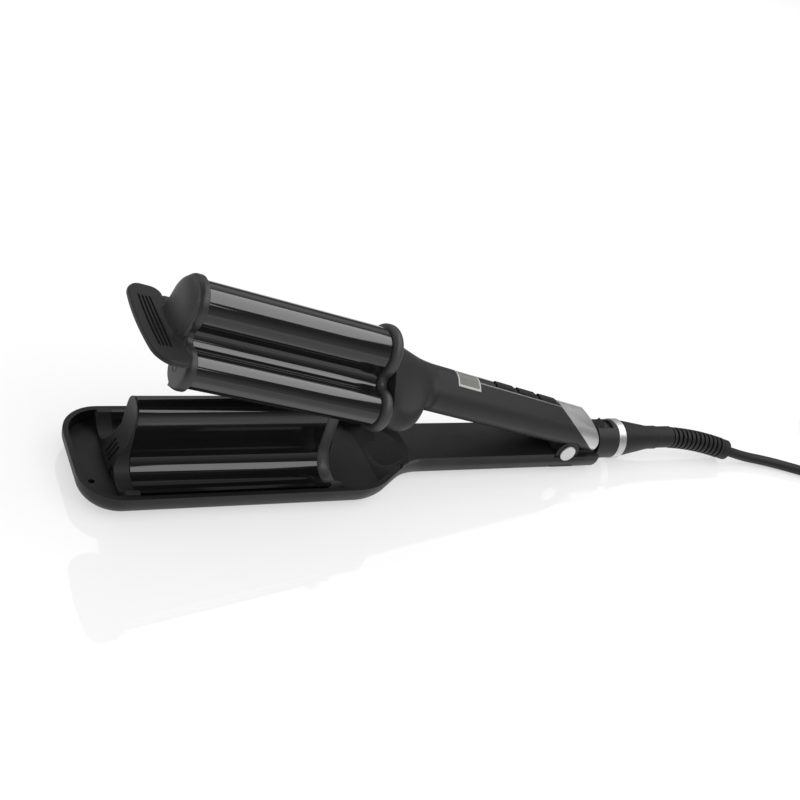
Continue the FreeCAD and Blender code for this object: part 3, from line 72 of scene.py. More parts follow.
def on_upper(points):
    """The same for the upper arm, turned by the opening a: x' = x cos a + z sin a, z' = z cos a - x sin a."""
    p = np.asarray(points, float)
    x = p[..., 0] * math.cos(OPENING) + p[..., 2] * math.sin(OPENING)
    z = p[..., 2] * math.cos(OPENING) - p[..., 0] * math.sin(OPENING)
    return (np.stack([x, p[..., 1], z], -1) + PIN) * MM


def in_scene(name, data):
    """A new object with the given data, at the scene's origin."""
    thing = bpy.data.objects.new(name, data)
    bpy.context.scene.collection.objects.link(thing)
    return thing


# %% [markdown]
# ## Camera and light
# The photograph looks down at the tool from the jaws' near side, with a long lens. The camera's
# three axes, its place and its focal length in pixels were solved from the tool's straight edges, so
# they are written out as numbers. A soft panel above and behind the tool draws the broad grey stripes
# along the glossy barrels, and a weaker one in front lights the valleys of the lower plate.

# %% Camera
PHOTO_PIXELS = 800
FOCAL_PIXELS = 1194.07
SENSOR_WIDTH = 36.0
camera = in_scene("camera", bpy.data.cameras.new("camera"))
right = Vector((0.871798, -0.387965, 0.299084))
upward = Vector((0.002224, 0.613672, 0.789558))
toward = Vector((-0.489860, -0.687670, 0.535861))
place = Vector((-0.36128, -0.44765, 0.3940))
camera.matrix_world = Matrix.Translation(place) @ Matrix((right, upward, toward)).transposed().to_4x4()
camera.data.sensor_width = SENSOR_WIDTH
camera.data.lens = FOCAL_PIXELS / PHOTO_PIXELS * SENSOR_WIDTH
camera.data.clip_start = 0.01
camera.data.clip_end = 20.0
bpy.context.scene.camera = camera


# %% Lights


def soft_panel(name, spot, target, width, height, power):
    """A rectangular white lamp at a spot, turned to face a target."""
    lamp = bpy.data.lights.new(name, "AREA")
    lamp.shape = "RECTANGLE"
    lamp.size, lamp.size_y = width, height
    lamp.energy = power
    panel = in_scene(name, lamp)
    panel.location = spot
    panel.rotation_euler = (Vector(target) - Vector(spot)).to_track_quat("-Z", "Y").to_euler()


soft_panel("stripe_panel", (0.92, -0.12, 1.15), (0.92, -0.12, 0.0), 0.6, 1.45, 10.5)
soft_panel("valley_panel", (0.32, -0.75, 0.95), (-0.10, -0.01, 0.03), 0.45, 0.6, 2.6)

# %% Surroundings


def computed(tree, operation, *values):
    """The result socket of a maths node whose inputs are sockets or numbers."""
    node = tree.nodes.new("ShaderNodeMath")
    node.operation = operation
    for socket, value in zip(node.inputs, values):
        if isinstance(value, float):
            socket.default_value = value
        else:
            tree.links.new(value, socket)
    return node.outputs[0]


def make_studio(white, wall, far, ceiling):
    """A world that lights the table evenly, and that glossy things see as a room.

    The room has a pale wall in front, a brighter one behind and a dark ceiling. Its glossy tone is
    ceiling + wall * front + far * back, where front is how far a direction points to the camera's side
    and back how far it points away.
    """
    world = bpy.data.worlds.new("studio")
    world.use_nodes = True
    tree = world.node_tree
    background = tree.nodes["Background"]
    where = tree.nodes.new("ShaderNodeTexCoord")
    split = tree.nodes.new("ShaderNodeSeparateXYZ")
    tree.links.new(where.outputs["Generated"], split.inputs["Vector"])

    def ramp(socket, low, high, start, stop):
        """A smooth step of a coordinate, from start at low to stop at high."""
        step = tree.nodes.new("ShaderNodeMapRange")
        step.interpolation_type = "SMOOTHSTEP"
        for word, value in (("From Min", low), ("From Max", high), ("To Min", start), ("To Max", stop)):
            step.inputs[word].default_value = value
        tree.links.new(split.outputs[socket], step.inputs["Value"])
        return step.outputs["Result"]

    front = computed(tree, "MULTIPLY", ramp("Y", -0.2, -0.9, 0.0, wall), ramp("Z", 0.5, 0.0, 0.0, 1.0))
    back = computed(tree, "MULTIPLY", ramp("Y", 0.2, 0.7, 0.0, far), ramp("Z", 0.15, 0.45, 0.0, 1.0))
    tone = computed(tree, "ADD", computed(tree, "ADD", front, back), ceiling)
    path = tree.nodes.new("ShaderNodeLightPath")
    choice = tree.nodes.new("ShaderNodeMix")
    choice.data_type = "FLOAT"
    tree.links.new(path.outputs["Is Glossy Ray"], choice.inputs["Factor"])
    choice.inputs["A"].default_value = white
    tree.links.new(tone, choice.inputs["B"])
    tree.links.new(choice.outputs["Result"], background.inputs["Strength"])
    background.inputs["Color"].default_value = (1.0, 1.0, 1.0, 1.0)
    return world


bpy.context.scene.world = make_studio(white=1.2, wall=0.38, far=0.62, ceiling=0.11)
bpy.context.scene.view_settings.view_transform = "Standard"

# %% [markdown]
# ## The cord
# The lead is 6.6 mm thick and about 1.8 m long. It leaves the strain relief pointing down, lands on the
# table and runs off to the right in one easy curve. The length that the photograph doesn't show is wound
# up beside it and tied, with the plug lying next to the coil. The whole lead is one NURBS spline with a
# round bevel. Its points pull the line towards them without holding it, which is how a stiff lead
# settles. In the coil they come from a loop, a little outside the turn, because the line runs inside
# its points.

# %% Cord
CORD_DIAMETER = 6.6 * MM
COIL_START = (342.0, -57.0, 3.9)
COIL_STEP = 7.1
COIL_INNER = 26.0
COIL_TURNS = 3.25
CLIMB_TURNS = 0.5
LAST_TURN = 0.125
POINTS_PER_TURN = 16
HEADING = math.radians(-22.0)
CORD_EXIT = (0.21388, -0.00672, 0.00788)
coil_outer = COIL_INNER + COIL_TURNS * COIL_STEP
coil_centre = np.array(COIL_START) + np.array([-math.sin(HEADING), math.cos(HEADING), 0.0]) * coil_outer


def coil_line(turn):
    """The wound line's radius and height at the turn u.

    The radius is inner + step (3.25 - u) going in and inner + step (u - 3.75) going out. In the half turn
    between them it dips by up to a quarter step, and the height goes from 0 to one step as (1 - cos) / 2.
    """
    climb = np.clip((turn - COIL_TURNS) / CLIMB_TURNS, 0, 1)
    dip = COIL_STEP / 4 * (1 - np.abs(2 * climb - 1))
    going_in = COIL_INNER + COIL_STEP * (COIL_TURNS - turn)
    going_out = COIL_INNER + COIL_STEP * (turn - COIL_TURNS - CLIMB_TURNS)
    radius = np.where(turn <= COIL_TURNS, going_in, np.where(climb < 1, COIL_INNER - dip, going_out))
    return radius, COIL_STEP * (1 - np.cos(math.pi * climb)) / 2


def coil_points():
    """The coil's spline points in metres: a spiral inwards, a climb in half a turn, a spiral outwards.

    The points lie at radius / (3/4 + cos(turn per point) / 4), so that the line itself has the radius.
    """
    last = int((COIL_TURNS * 2 + CLIMB_TURNS + LAST_TURN) * POINTS_PER_TURN)
    turn = np.arange(1, last + 1) / POINTS_PER_TURN
    radius, height = coil_line(turn)
    swell = 0.75 + 0.25 * math.cos(2 * math.pi / POINTS_PER_TURN)
    angle = HEADING - math.pi / 2 + turn * 2 * math.pi
    ring = np.stack([np.cos(angle) * radius / swell, np.sin(angle) * radius / swell, height], -1)
    return (coil_centre + ring) * MM


def cord_spline(name, points):
    """A round cord whose centre line is one open NURBS spline with the given points, in metres.

    The bevel is drawn one metre deep and each point's radius scales it down to the cord's, because the
    curve's box is grown by the points' radius.
    """
    curve = bpy.data.curves.new(name, "CURVE")
    curve.dimensions = "3D"
    curve.bevel_depth = 1.0
    curve.bevel_resolution = 5
    curve.resolution_u = 6
    curve.use_fill_caps = True
    spline = curve.splines.new("NURBS")
    spline.points.add(len(points) - 1)
    for place, point in zip(spline.points, points):
        place.co = (*point, 1.0)
        place.radius = CORD_DIAMETER / 2
    spline.order_u = 3
    spline.use_endpoint_u = True
    return in_scene(name, curve)


run_points = [CORD_EXIT, (0.22720, -0.00978, 0.00482), (0.249, -0.015, 0.00375), (0.270, -0.024, 0.00335),
              (0.292, -0.035, 0.00335), (0.31734, -0.04704, 0.0034), (0.33588, -0.05453, 0.0039)]
tail_points = [(0.386038, -0.055048, 0.011), (0.398116, -0.050241, 0.0106), (0.410195, -0.045433, 0.01145),
               (0.420415, -0.041365, 0.01205)]
lead = cord_spline("cord_line", [*run_points, *coil_points(), *tail_points])
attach(lead, "cord_end")
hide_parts("cord_run", "cord_coil", "cord_tail")
print("points in the cord's spline:", len(lead.data.splines[0].points))

# %% [markdown]
# ## Finishes
# Moulded plastic is never perfectly even: its skin has a fine grain that breaks the shine, and hands
# polish it a little. Both effects are one shader group, placed in each material with its own numbers,
# so the same idea serves matte cases, rubber and coated metal.

# %% Shader group: skin


def make_skin_group():
    """Fine grain as a normal, and slow patches that make the surface a little rougher or smoother.

    The colour is tone (1 + spread (patch - 1/2)), and the roughness runs from low to high as the patch
    runs from 0.3 to 0.7.
    """
    group = bpy.data.node_groups.new("skin", "ShaderNodeTree")
    for word, low, high, usual in (("Grain size", 1, 100000, 2500), ("Grain depth", 0, 1, 0.1),
                                   ("Patch size", 1, 10000, 40), ("Roughness low", 0, 1, 0.4),
                                   ("Roughness high", 0, 1, 0.5), ("Tone spread", 0, 1, 0.1)):
        socket = group.interface.new_socket(word, in_out="INPUT", socket_type="NodeSocketFloat")
        socket.min_value, socket.max_value, socket.default_value = low, high, usual
    group.interface.new_socket("Tone", in_out="INPUT", socket_type="NodeSocketColor")
    for word, kind in (("Color", "Color"), ("Roughness", "Float"), ("Normal", "Vector")):
        group.interface.new_socket(word, in_out="OUTPUT", socket_type="NodeSocket" + kind)
    start = group.nodes.new("NodeGroupInput")
    end = group.nodes.new("NodeGroupOutput")
    where = group.nodes.new("ShaderNodeTexCoord")

    def noise(size, detail):
        """The height of a noise over the object's own coordinates, with its scale from a socket."""
        texture = group.nodes.new("ShaderNodeTexNoise")
        texture.inputs["Detail"].default_value = detail
        group.links.new(where.outputs["Object"], texture.inputs["Vector"])
        group.links.new(start.outputs[size], texture.inputs["Scale"])
        return texture.outputs["Fac"]

    bump = group.nodes.new("ShaderNodeBump")
    bump.inputs["Distance"].default_value = 0.0002
    group.links.new(noise("Grain size", 2.0), bump.inputs["Height"])
    group.links.new(start.outputs["Grain depth"], bump.inputs["Strength"])
    group.links.new(bump.outputs["Normal"], end.inputs["Normal"])
    patch = noise("Patch size", 3.0)
    spread = group.nodes.new("ShaderNodeMapRange")
    spread.inputs["From Min"].default_value = 0.3
    spread.inputs["From Max"].default_value = 0.7
    group.links.new(patch, spread.inputs["Value"])
    group.links.new(start.outputs["Roughness low"], spread.inputs["To Min"])
    group.links.new(start.outputs["Roughness high"], spread.inputs["To Max"])
    group.links.new(spread.outputs["Result"], end.inputs["Roughness"])
    swing = computed(group, "MULTIPLY", computed(group, "SUBTRACT", patch, 0.5), start.outputs["Tone spread"])
    tint = group.nodes.new("ShaderNodeVectorMath")
    tint.operation = "SCALE"
    group.links.new(start.outputs["Tone"], tint.inputs[0])
    group.links.new(computed(group, "ADD", swing, 1.0), tint.inputs["Scale"])
    group.links.new(tint.outputs["Vector"], end.inputs["Color"])
    return group


skin = make_skin_group()

# %% Materials
FINISHES = {}


def finish(name, tone, rough, grain=(2500, 0.1), patch=40, spread=0.2, metallic=0.0, coat=0.0,
           coat_rough=0.1, specular=0.5):
    """A material whose colour, roughness and normal come from the skin group."""
    material = bpy.data.materials.new(name)
    material.use_nodes = True
    tree = material.node_tree
    shader = tree.nodes["Principled BSDF"]
    node = tree.nodes.new("ShaderNodeGroup")
    node.node_tree = skin
    for word, value in (("Grain size", grain[0]), ("Grain depth", grain[1]), ("Patch size", patch),
                        ("Roughness low", rough[0]), ("Roughness high", rough[1]), ("Tone spread", spread),
                        ("Tone", (*tone, 1.0))):
        node.inputs[word].default_value = value
    for word, socket in (("Color", "Base Color"), ("Roughness", "Roughness"), ("Normal", "Normal")):
        tree.links.new(node.outputs[word], shader.inputs[socket])
    for word, value in (("Metallic", metallic), ("Coat Weight", coat), ("Coat Roughness", coat_rough),
                        ("Specular IOR Level", specular)):
        shader.inputs[word].default_value = value
    FINISHES[name] = material


finish("matte_case", (0.0130, 0.0130, 0.0135), (0.46, 0.56), grain=(3200, 0.10), specular=0.35)
finish("coated_plate", (0.006, 0.006, 0.0065), (0.05, 0.07), grain=(1500, 0.004), coat=0.2, coat_rough=0.08)
finish("gloss_panel", (0.006, 0.006, 0.007), (0.10, 0.15), grain=(900, 0.01), coat=0.2)
finish("silver_trim", (0.55, 0.55, 0.56), (0.3, 0.38), grain=(4000, 0.06), metallic=0.85)
finish("pin_metal", (0.62, 0.62, 0.63), (0.36, 0.46), grain=(5000, 0.08), metallic=0.8)
finish("screw_steel", (0.22, 0.22, 0.23), (0.35, 0.45), metallic=0.9)
finish("heater_metal", (0.6, 0.6, 0.61), (0.35, 0.5), metallic=1.0)
finish("heat_plastic", (0.30, 0.22, 0.13), (0.5, 0.6))
finish("fuse_metal", (0.5, 0.47, 0.4), (0.3, 0.4), metallic=1.0)
finish("display_glass", (0.012, 0.012, 0.014), (0.04, 0.07), grain=(700, 0.0), coat=0.6, coat_rough=0.04)
finish("board_green", (0.03, 0.16, 0.06), (0.3, 0.45))
finish("module_black", (0.02, 0.02, 0.02), (0.4, 0.5))
finish("soft_rubber", (0.008, 0.008, 0.0085), (0.5, 0.6), grain=(2600, 0.15), specular=0.35)
finish("tie_plastic", (0.014, 0.014, 0.014), (0.35, 0.45))
finish("pin_brass", (0.68, 0.55, 0.3), (0.22, 0.35), metallic=1.0)
# Near black, a painted shadow: it fills the gap behind the barrel and the screw recesses, where only shade
# falls.
finish("painted_shadow_black", (0.004, 0.004, 0.004), (0.6, 0.7))
finish("smooth_case", (0.016, 0.016, 0.0165), (0.34, 0.42), grain=(3200, 0.05))
# A lighter copy of the case plastic, painted light on the collar and on the egg of the barrel's tip.
finish("painted_light_case", (0.027, 0.027, 0.0275), (0.44, 0.52), grain=(3200, 0.08))
# A darker copy of the case plastic, painted shade on the lower casing, the cover and the bowl's lining.
finish("painted_shade_case", (0.0065, 0.0065, 0.0068), (0.42, 0.52), grain=(3200, 0.10), specular=0.32)
# A much lighter copy of the case plastic, a painted highlight along the rear cap of the ridge.
finish("painted_highlight_case", (0.045, 0.045, 0.0455), (0.36, 0.44), grain=(3200, 0.06))
finish("key_cap", (0.010, 0.010, 0.011), (0.24, 0.30), grain=(2600, 0.03), specular=0.25)
finish("line_silver", (0.26, 0.26, 0.27), (0.35, 0.42), grain=(4000, 0.05), metallic=0.8)
finish("display_pane", (0.13, 0.13, 0.125), (0.10, 0.16), grain=(700, 0.0), patch=90, spread=0.5, coat=0.4)
finish("clear_rim", (0.34, 0.34, 0.33), (0.16, 0.24), grain=(900, 0.01), patch=120, coat=0.5)
lead.data.materials.append(FINISHES["soft_rubber"])
slot_of = {entry["node"]: entry["material_slot"] for entry in frame["record"]["subparts"]}
body_of = {node: body for body, members in frame["record"]["behaviour"]["bodies"].items() for node in members}
for name, thing in nodes.items():
    thing.data.materials.clear()
    thing.data.materials.append(FINISHES[slot_of[name]])

# %% [markdown]
# ## Helpers that make meshes
# Three ways cover nearly every piece. A *grid* joins rows of points into a skin. A *ribbon* carries a
# wall with an outer and an inner rail along the arm, and can pull its ends in to round them. A
# *moulded* piece starts from the CAD solid itself: its loose facets are welded, its flat areas are
# cleaned, and a fine bevel gives each edge the radius that an injection mould leaves.

# %% Mesh helpers
SAME_POINT, SAME_CAD_POINT = 1e-6, 2e-6
FLAT_ANGLE = math.radians(1.0)
SHARP_ANGLE = math.radians(35.0)


def weld(mesh, distance, merge_flats=False):
    """Join a mesh's doubled points, and then either merge its flat areas or turn its faces outwards."""
    work = bmesh.new()
    work.from_mesh(mesh)
    bmesh.ops.remove_doubles(work, verts=work.verts, dist=distance)
    if merge_flats:
        bmesh.ops.dissolve_limit(work, angle_limit=FLAT_ANGLE, verts=work.verts, edges=work.edges)
    else:
        bmesh.ops.recalc_face_normals(work, faces=work.faces)
    work.to_mesh(mesh)
    work.free()


def put(name, points, faces, finish_name, body, replaced=(), smooth=35.0):
    """Make an object from points in metres and faces, weld it, and let it ride on a body."""
    mesh = bpy.data.meshes.new(name)
    mesh.from_pydata(np.asarray(points).reshape(-1, 3).tolist(), [], [list(map(int, face)) for face in faces])
    return settle(name, mesh, finish_name, body, replaced, smooth)


def settle(name, mesh, finish_name, body, replaced=(), smooth=35.0):
    """Weld a mesh, turn its faces outwards, shade it smooth and hang it on its body."""
    weld(mesh, SAME_POINT)
    mesh.validate()
    mesh.shade_smooth()
    mesh.set_sharp_from_angle(angle=math.radians(smooth))
    thing = in_scene(name, mesh)
    mesh.materials.append(FINISHES[finish_name])
    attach(thing, body)
    if replaced:
        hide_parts(*replaced)
    return thing


def grid_faces(rows, columns, wrap_rows=False, wrap_columns=False):
    """Quads that join a grid of points numbered row by row."""
    r = np.arange(rows if wrap_rows else rows - 1)
    c = np.arange(columns if wrap_columns else columns - 1)
    r, c = np.meshgrid(r, c, indexing="ij")
    r2, c2 = (r + 1) % rows, (c + 1) % columns
    corners = (r * columns + c, r * columns + c2, r2 * columns + c2, r2 * columns + c)
    return np.stack(corners, -1).reshape(-1, 4)


def band(first, second):
    """Quads between two closed rings of point numbers."""
    return list(zip(first, np.roll(first, -1), np.roll(second, -1), second))


def arc(centre, radius, start, stop, count):
    """Points on a circle: centre + radius (cos t, sin t), t from start to stop in degrees."""
    t = np.radians(np.linspace(start, stop, count))
    return np.stack([centre[0] + radius * np.cos(t), centre[1] + radius * np.sin(t)], -1)


def chain(*pieces):
    """Lines and arcs as one row of points, with repeated points left out."""
    rows = np.concatenate([np.atleast_2d(np.asarray(piece, float)) for piece in pieces])
    keep = np.r_[True, np.linalg.norm(np.diff(rows, axis=0), axis=1) > 1e-6]
    return rows[keep]


def spaced(row, count):
    """The same row of points with equal steps along its length."""
    step = np.r_[0, np.cumsum(np.linalg.norm(np.diff(row, axis=0), axis=1))]
    at = np.linspace(0, step[-1], count)
    return np.stack([np.interp(at, step, row[:, k]) for k in range(row.shape[1])], -1)


def outward(row):
    """Unit normals of a row of (y, z) points, up from a row that runs to positive y: (-dz, dy)."""
    along = np.gradient(row, axis=0)
    normal = np.stack([-along[:, 1], along[:, 0]], -1)
    return normal / np.linalg.norm(normal, axis=1, keepdims=True)


def ribbon(name, outer, inner, stations, arm, finish_name, body, replaced=(), pull=None, smooth=35.0):
    """A wall between two rails of (y, z) points, carried along X.

    Each station is (x, inset). At x the outer rail moves in by inset times its normal, and by pull,
    a number from 0 to 1 for each of its points, so that an end can be rounded on one side only.
    """
    count = len(outer)
    normal = outward(outer)
    pull = np.ones(count) if pull is None else pull
    loops = []
    for x, inset in stations:
        rail = outer - normal * (inset * pull)[:, None]
        loop = np.concatenate([rail, inner[::-1]])
        loops.append(np.column_stack([np.full(len(loop), x), loop]))
    points = np.stack(loops)
    rows, columns = points.shape[:2]
    faces = [tuple(face) for face in grid_faces(rows, columns, False, True)]
    for row in (0, rows - 1):
        base = row * columns
        faces += [(base + i, base + i + 1, base + columns - 2 - i, base + columns - 1 - i)
                  for i in range(count - 1)]
    return put(name, arm(points), faces, finish_name, body, replaced, smooth)


def rounded_ends(start, stop, radius, steps=5):
    """Stations whose inset follows a quarter circle at both ends: inset = r - sqrt(r^2 - (r - d)^2)."""
    turn = np.linspace(0, math.pi / 2, steps)
    d = radius * (1 - np.cos(turn))
    inset = radius * (1 - np.sin(turn))
    front = [(start + a, b) for a, b in zip(d, inset)]
    back = [(stop - a, b) for a, b in zip(d[::-1], inset[::-1])]
    return front + back


def tablet(name, top, radius, depth, arm, finish_name, body, replaced=(), steps=5, smooth=35.0, wall=None,
           level=None):
    """A thin block under a grid of top points, with a quarter-round edge.

    The grid's border is the edge's inner line. Ring k lies outside it by radius sin(a) and lower by
    radius (1 - cos(a)), a from 0 to 90 degrees, and a last ring goes straight down by the depth, or to
    a level. The rings are offset along the border's own normals in X and Y. With a wall the block is a
    shell: its back is the top again, lower by the wall.
    """
    rows, columns = top.shape[:2]
    index = np.arange(rows * columns).reshape(rows, columns)
    border = np.concatenate([index[0, :-1], index[:-1, -1], index[-1, :0:-1], index[:0:-1, 0]])
    flat = top.reshape(-1, 3)
    loop = flat[border]
    along = np.roll(loop, -1, axis=0) - np.roll(loop, 1, axis=0)
    normal = np.stack([along[:, 1], -along[:, 0]], -1)
    normal /= np.linalg.norm(normal, axis=1, keepdims=True)
    centre = loop[:, :2].mean(axis=0)
    if np.sum(normal * (loop[:, :2] - centre)) < 0:
        normal = -normal
    rings = []
    for a in np.linspace(0, math.pi / 2, steps + 1)[1:]:
        rings.append(np.column_stack([loop[:, :2] + normal * radius * math.sin(a),
                                      loop[:, 2] - radius * (1 - math.cos(a))]))
    foot = rings[-1][:, 2] - depth if level is None else np.full(len(loop), level)
    rings.append(np.column_stack([rings[-1][:, :2], foot]))
    points = np.concatenate([flat, *rings])
    faces = [tuple(face) for face in grid_faces(rows, columns)]
    before = border
    for k in range(len(rings)):
        ring = len(flat) + k * len(border) + np.arange(len(border))
        faces += band(before, ring)
        before = ring
    if wall is None:
        faces.append(tuple(before[::-1]))
    else:
        start = len(points)
        points = np.concatenate([points, flat - (0, 0, wall)])
        faces += [tuple(start + face[::-1]) for face in grid_faces(rows, columns)]
        faces += band(before, start + border)
    return put(name, arm(points), faces, finish_name, body, replaced, smooth)


def moulded(node, edge, finish_name=None):
    """The CAD solid welded and cleaned, with its edges rounded to a moulded radius in millimetres."""
    mesh = nodes[node].data.copy()
    weld(mesh, SAME_CAD_POINT, merge_flats=True)
    mesh.materials.clear()
    thing = settle(node + "_skin", mesh, finish_name or slot_of[node], body_of[node], (node,))
    bevel = thing.modifiers.new("mould_radius", "BEVEL")
    bevel.width = edge * MM
    bevel.segments = 2
    bevel.limit_method = "ANGLE"
    bevel.angle_limit = SHARP_ANGLE
    bevel.use_clamp_overlap = True
    bevel.harden_normals = True


# %% [markdown]
# ## The wave of the lower plate
# The plate is pressed sheet: a tall round ridge between two valleys. Its section is a chain of arcs
# and lines, and the underside is the same chain one wall lower. Straight lines along X and a close
# grid across them keep the long reflections clean.

# %% Wave sections
HALF_PITCH, ROLL_RADIUS, ROLL_HEIGHT = 20.0, 10.5, 4.0
HAIR_GAP, RIDGE_HEIGHT, PLATE_DROP, PLATE_WALL = 1.3, 22.0, 5.8, 2.0
RIDGE_RADIUS = HALF_PITCH - ROLL_RADIUS - HAIR_GAP
VALLEY_RADIUS = ROLL_RADIUS + HAIR_GAP
PLATE_FRONT, PLATE_BACK = -265.0, -163.0


def wave_row(ridge, valley, count=161):
    """Valley, side, ridge, side, valley from the near edge to the far one."""
    edge = math.degrees(math.asin(PLATE_DROP / valley))
    side = HALF_PITCH - valley
    near = arc((-HALF_PITCH, ROLL_HEIGHT), valley, 180 + edge, 360, 60)
    hill = arc((0, RIDGE_HEIGHT), ridge, 180, 0, 60)
    far = arc((HALF_PITCH, ROLL_HEIGHT), valley, 180, 360 - edge, 60)
    line_up = np.linspace((-side, ROLL_HEIGHT), (-side, RIDGE_HEIGHT), 24)
    line_down = np.linspace((side, RIDGE_HEIGHT), (side, ROLL_HEIGHT), 24)
    return spaced(chain(near, line_up, hill, line_down, far), count)


wave_top = wave_row(RIDGE_RADIUS, VALLEY_RADIUS)
wave_low = wave_row(RIDGE_RADIUS - PLATE_WALL, VALLEY_RADIUS + PLATE_WALL)
plate_stations = [(PLATE_FRONT + 0.15, 0.15), (PLATE_FRONT + 0.3, 0), (PLATE_BACK, 0)]
ribbon("ridge_plate_skin", wave_top, wave_low, plate_stations, on_lower, "coated_plate", "lower_arm",
       ("ridge_plate",))
print("ridge radius", RIDGE_RADIUS, "valley radius", VALLEY_RADIUS)

# %% [markdown]
# ## The barrel with its hump and two rolls
# The upper jaw is an aluminium casting with a glossy coat: two rolls that press into the valleys and
# a hump over a cavity that swallows the ridge. A waist arc touches the hump and the roll. Its centre
# is found where two circles cross, the same construction that a draughtsman makes with a compass.

# %% Barrel sections
HUMP_RADIUS, HUMP_HEIGHT, WAIST_RADIUS = 12.7, 28.0, 6.5
BARREL_ROLL, BARREL_ROLL_HEIGHT = 9.3, 5.2
CAVITY_HALF = HALF_PITCH - BARREL_ROLL
BARREL_FRONT, BARREL_BACK = -260.4, -153.4


def hat_rows(proud, waist, count=241):
    """The outer rail over roll, waist, hump, waist and roll, and the rail of the cavity inside it."""
    hump = np.array([0.0, HUMP_HEIGHT])
    roll = np.array([HALF_PITCH, BARREL_ROLL_HEIGHT])
    big, small = HUMP_RADIUS + proud + waist, BARREL_ROLL + proud + waist
    apart = roll - hump
    span = np.linalg.norm(apart)
    reach = (big ** 2 - small ** 2 + span ** 2) / (2 * span)
    unit = apart / span
    centre = hump + unit * reach + np.array([-unit[1], unit[0]]) * math.sqrt(big ** 2 - reach ** 2)
    to_hump = math.degrees(math.atan2(*(hump - centre)[::-1]))
    to_roll = math.degrees(math.atan2(*(roll - centre)[::-1])) % 360
    hump_end = to_hump - 180 if to_hump > 0 else to_hump + 180
    outer_far = chain(arc(hump, HUMP_RADIUS + proud, 90, hump_end, 40),
                      arc(centre, waist, to_hump % 360, to_roll, 24),
                      arc(roll, BARREL_ROLL + proud, to_roll - 180, -90, 50))
    inner_far = chain(arc((0, RIDGE_HEIGHT), CAVITY_HALF, 90, 0, 30),
                      np.linspace((CAVITY_HALF, RIDGE_HEIGHT), (CAVITY_HALF, BARREL_ROLL_HEIGHT), 12),
                      arc(roll, BARREL_ROLL, 180, 270, 24))
    rails = []
    for row in (outer_far, inner_far):
        half = spaced(row, count // 2 + 1)
        mirrored = half[::-1] * (-1, 1)
        rails.append(np.concatenate([mirrored, half[1:]]))
    return rails


barrel_outer, barrel_inner = hat_rows(0.0, WAIST_RADIUS)
ribbon("barrel_skin", barrel_outer, barrel_inner, [(BARREL_FRONT, 0), (BARREL_BACK, 0)], on_upper,
       "coated_plate", "upper_arm", ("barrel",))

# %% [markdown]
# ## The collar
# A round-edged collar follows the same wave behind the barrel, in a lighter copy of the case plastic: painted
# light. Its rounding fades out where the wave ends, over a small share of the rail's length. A seat, a little
# lower than the barrel, fills the seam between the two; its near black is painted shadow for the shade in the
# gap.

# %% Collar
COLLAR_FRONT, COLLAR_BACK, COLLAR_PROUD = -152.6, -146.4, 2.5
COLLAR_WAIST, COLLAR_ROUND, FADE_SHARE = 3.6, 2.3, 0.06
SEAT_SUNK, SEAT_LAP_BARREL, SEAT_LAP_COLLAR = 0.8, 0.6, 1.5
collar_outer, collar_inner = hat_rows(COLLAR_PROUD, COLLAR_WAIST)
end_fade = np.clip((1 - np.abs(np.linspace(-1, 1, len(collar_outer)))) / FADE_SHARE, 0, 1)
# The collar takes the lighter copy of the case plastic, which is painted light.
ribbon("collar_skin", collar_outer, collar_inner, rounded_ends(COLLAR_FRONT, COLLAR_BACK, COLLAR_ROUND, 7),
       on_upper, "painted_light_case", "upper_arm", ("collar",), end_fade)
# The seat's near black is a painted shadow in the gap between the barrel and the collar.
seat_outer, seat_inner = hat_rows(-SEAT_SUNK, WAIST_RADIUS)
seat_stations = [(BARREL_BACK - SEAT_LAP_BARREL, 0), (COLLAR_FRONT + SEAT_LAP_COLLAR, 0)]
ribbon("collar_shadow_seat", seat_outer, seat_inner, seat_stations, on_upper, "painted_shadow_black", "upper_arm")

# %% [markdown]
# ## The tip of the barrel
# A plastic cap closes the barrel's front. Its rim stands proud of the metal and rolls over to a flat
# face, where the hump looks like an egg standing on end. The rim is the barrel's own section grown by
# the rim's height, and the stations along X follow a quarter circle. The egg is a tablet: a grid of
# points with a rounded edge swept round it. It is a thin shell, because the ridge's cap comes up behind
# it when the jaws close.

# %% Tip cap
RIM_FRONT, RIM_BACK, RIM_PROUD = -265.2, -260.2, 1.9
RIM_WAIST, RIM_ROUND, RIM_STEPS, RIM_CHAMFER = 4.0, 2.4, 8, 0.5
rim_outer, rim_inner = hat_rows(RIM_PROUD, RIM_WAIST)
rim_stations = rounded_ends(RIM_FRONT, RIM_BACK, RIM_ROUND, RIM_STEPS)[:RIM_STEPS]
rim_stations += [(RIM_BACK - RIM_CHAMFER, 0), (RIM_BACK, RIM_CHAMFER)]
ribbon("barrel_tip_cap_skin", rim_outer, rim_inner, rim_stations, on_upper, "smooth_case", "upper_arm",
       ("barrel_tip_cap",), end_fade)

EGG_RADIUS, EGG_STEM, EGG_START = 13.2, 13.5, 0.12
EGG_BACK, EGG_RISE, EGG_DOME, EGG_LEAN, STEM_SHARE = 1.0, 0.6, 3.4, 0.07, 0.35
EGG_EDGE, EGG_DEPTH, EGG_WALL = 0.4, 1.6, 1.1


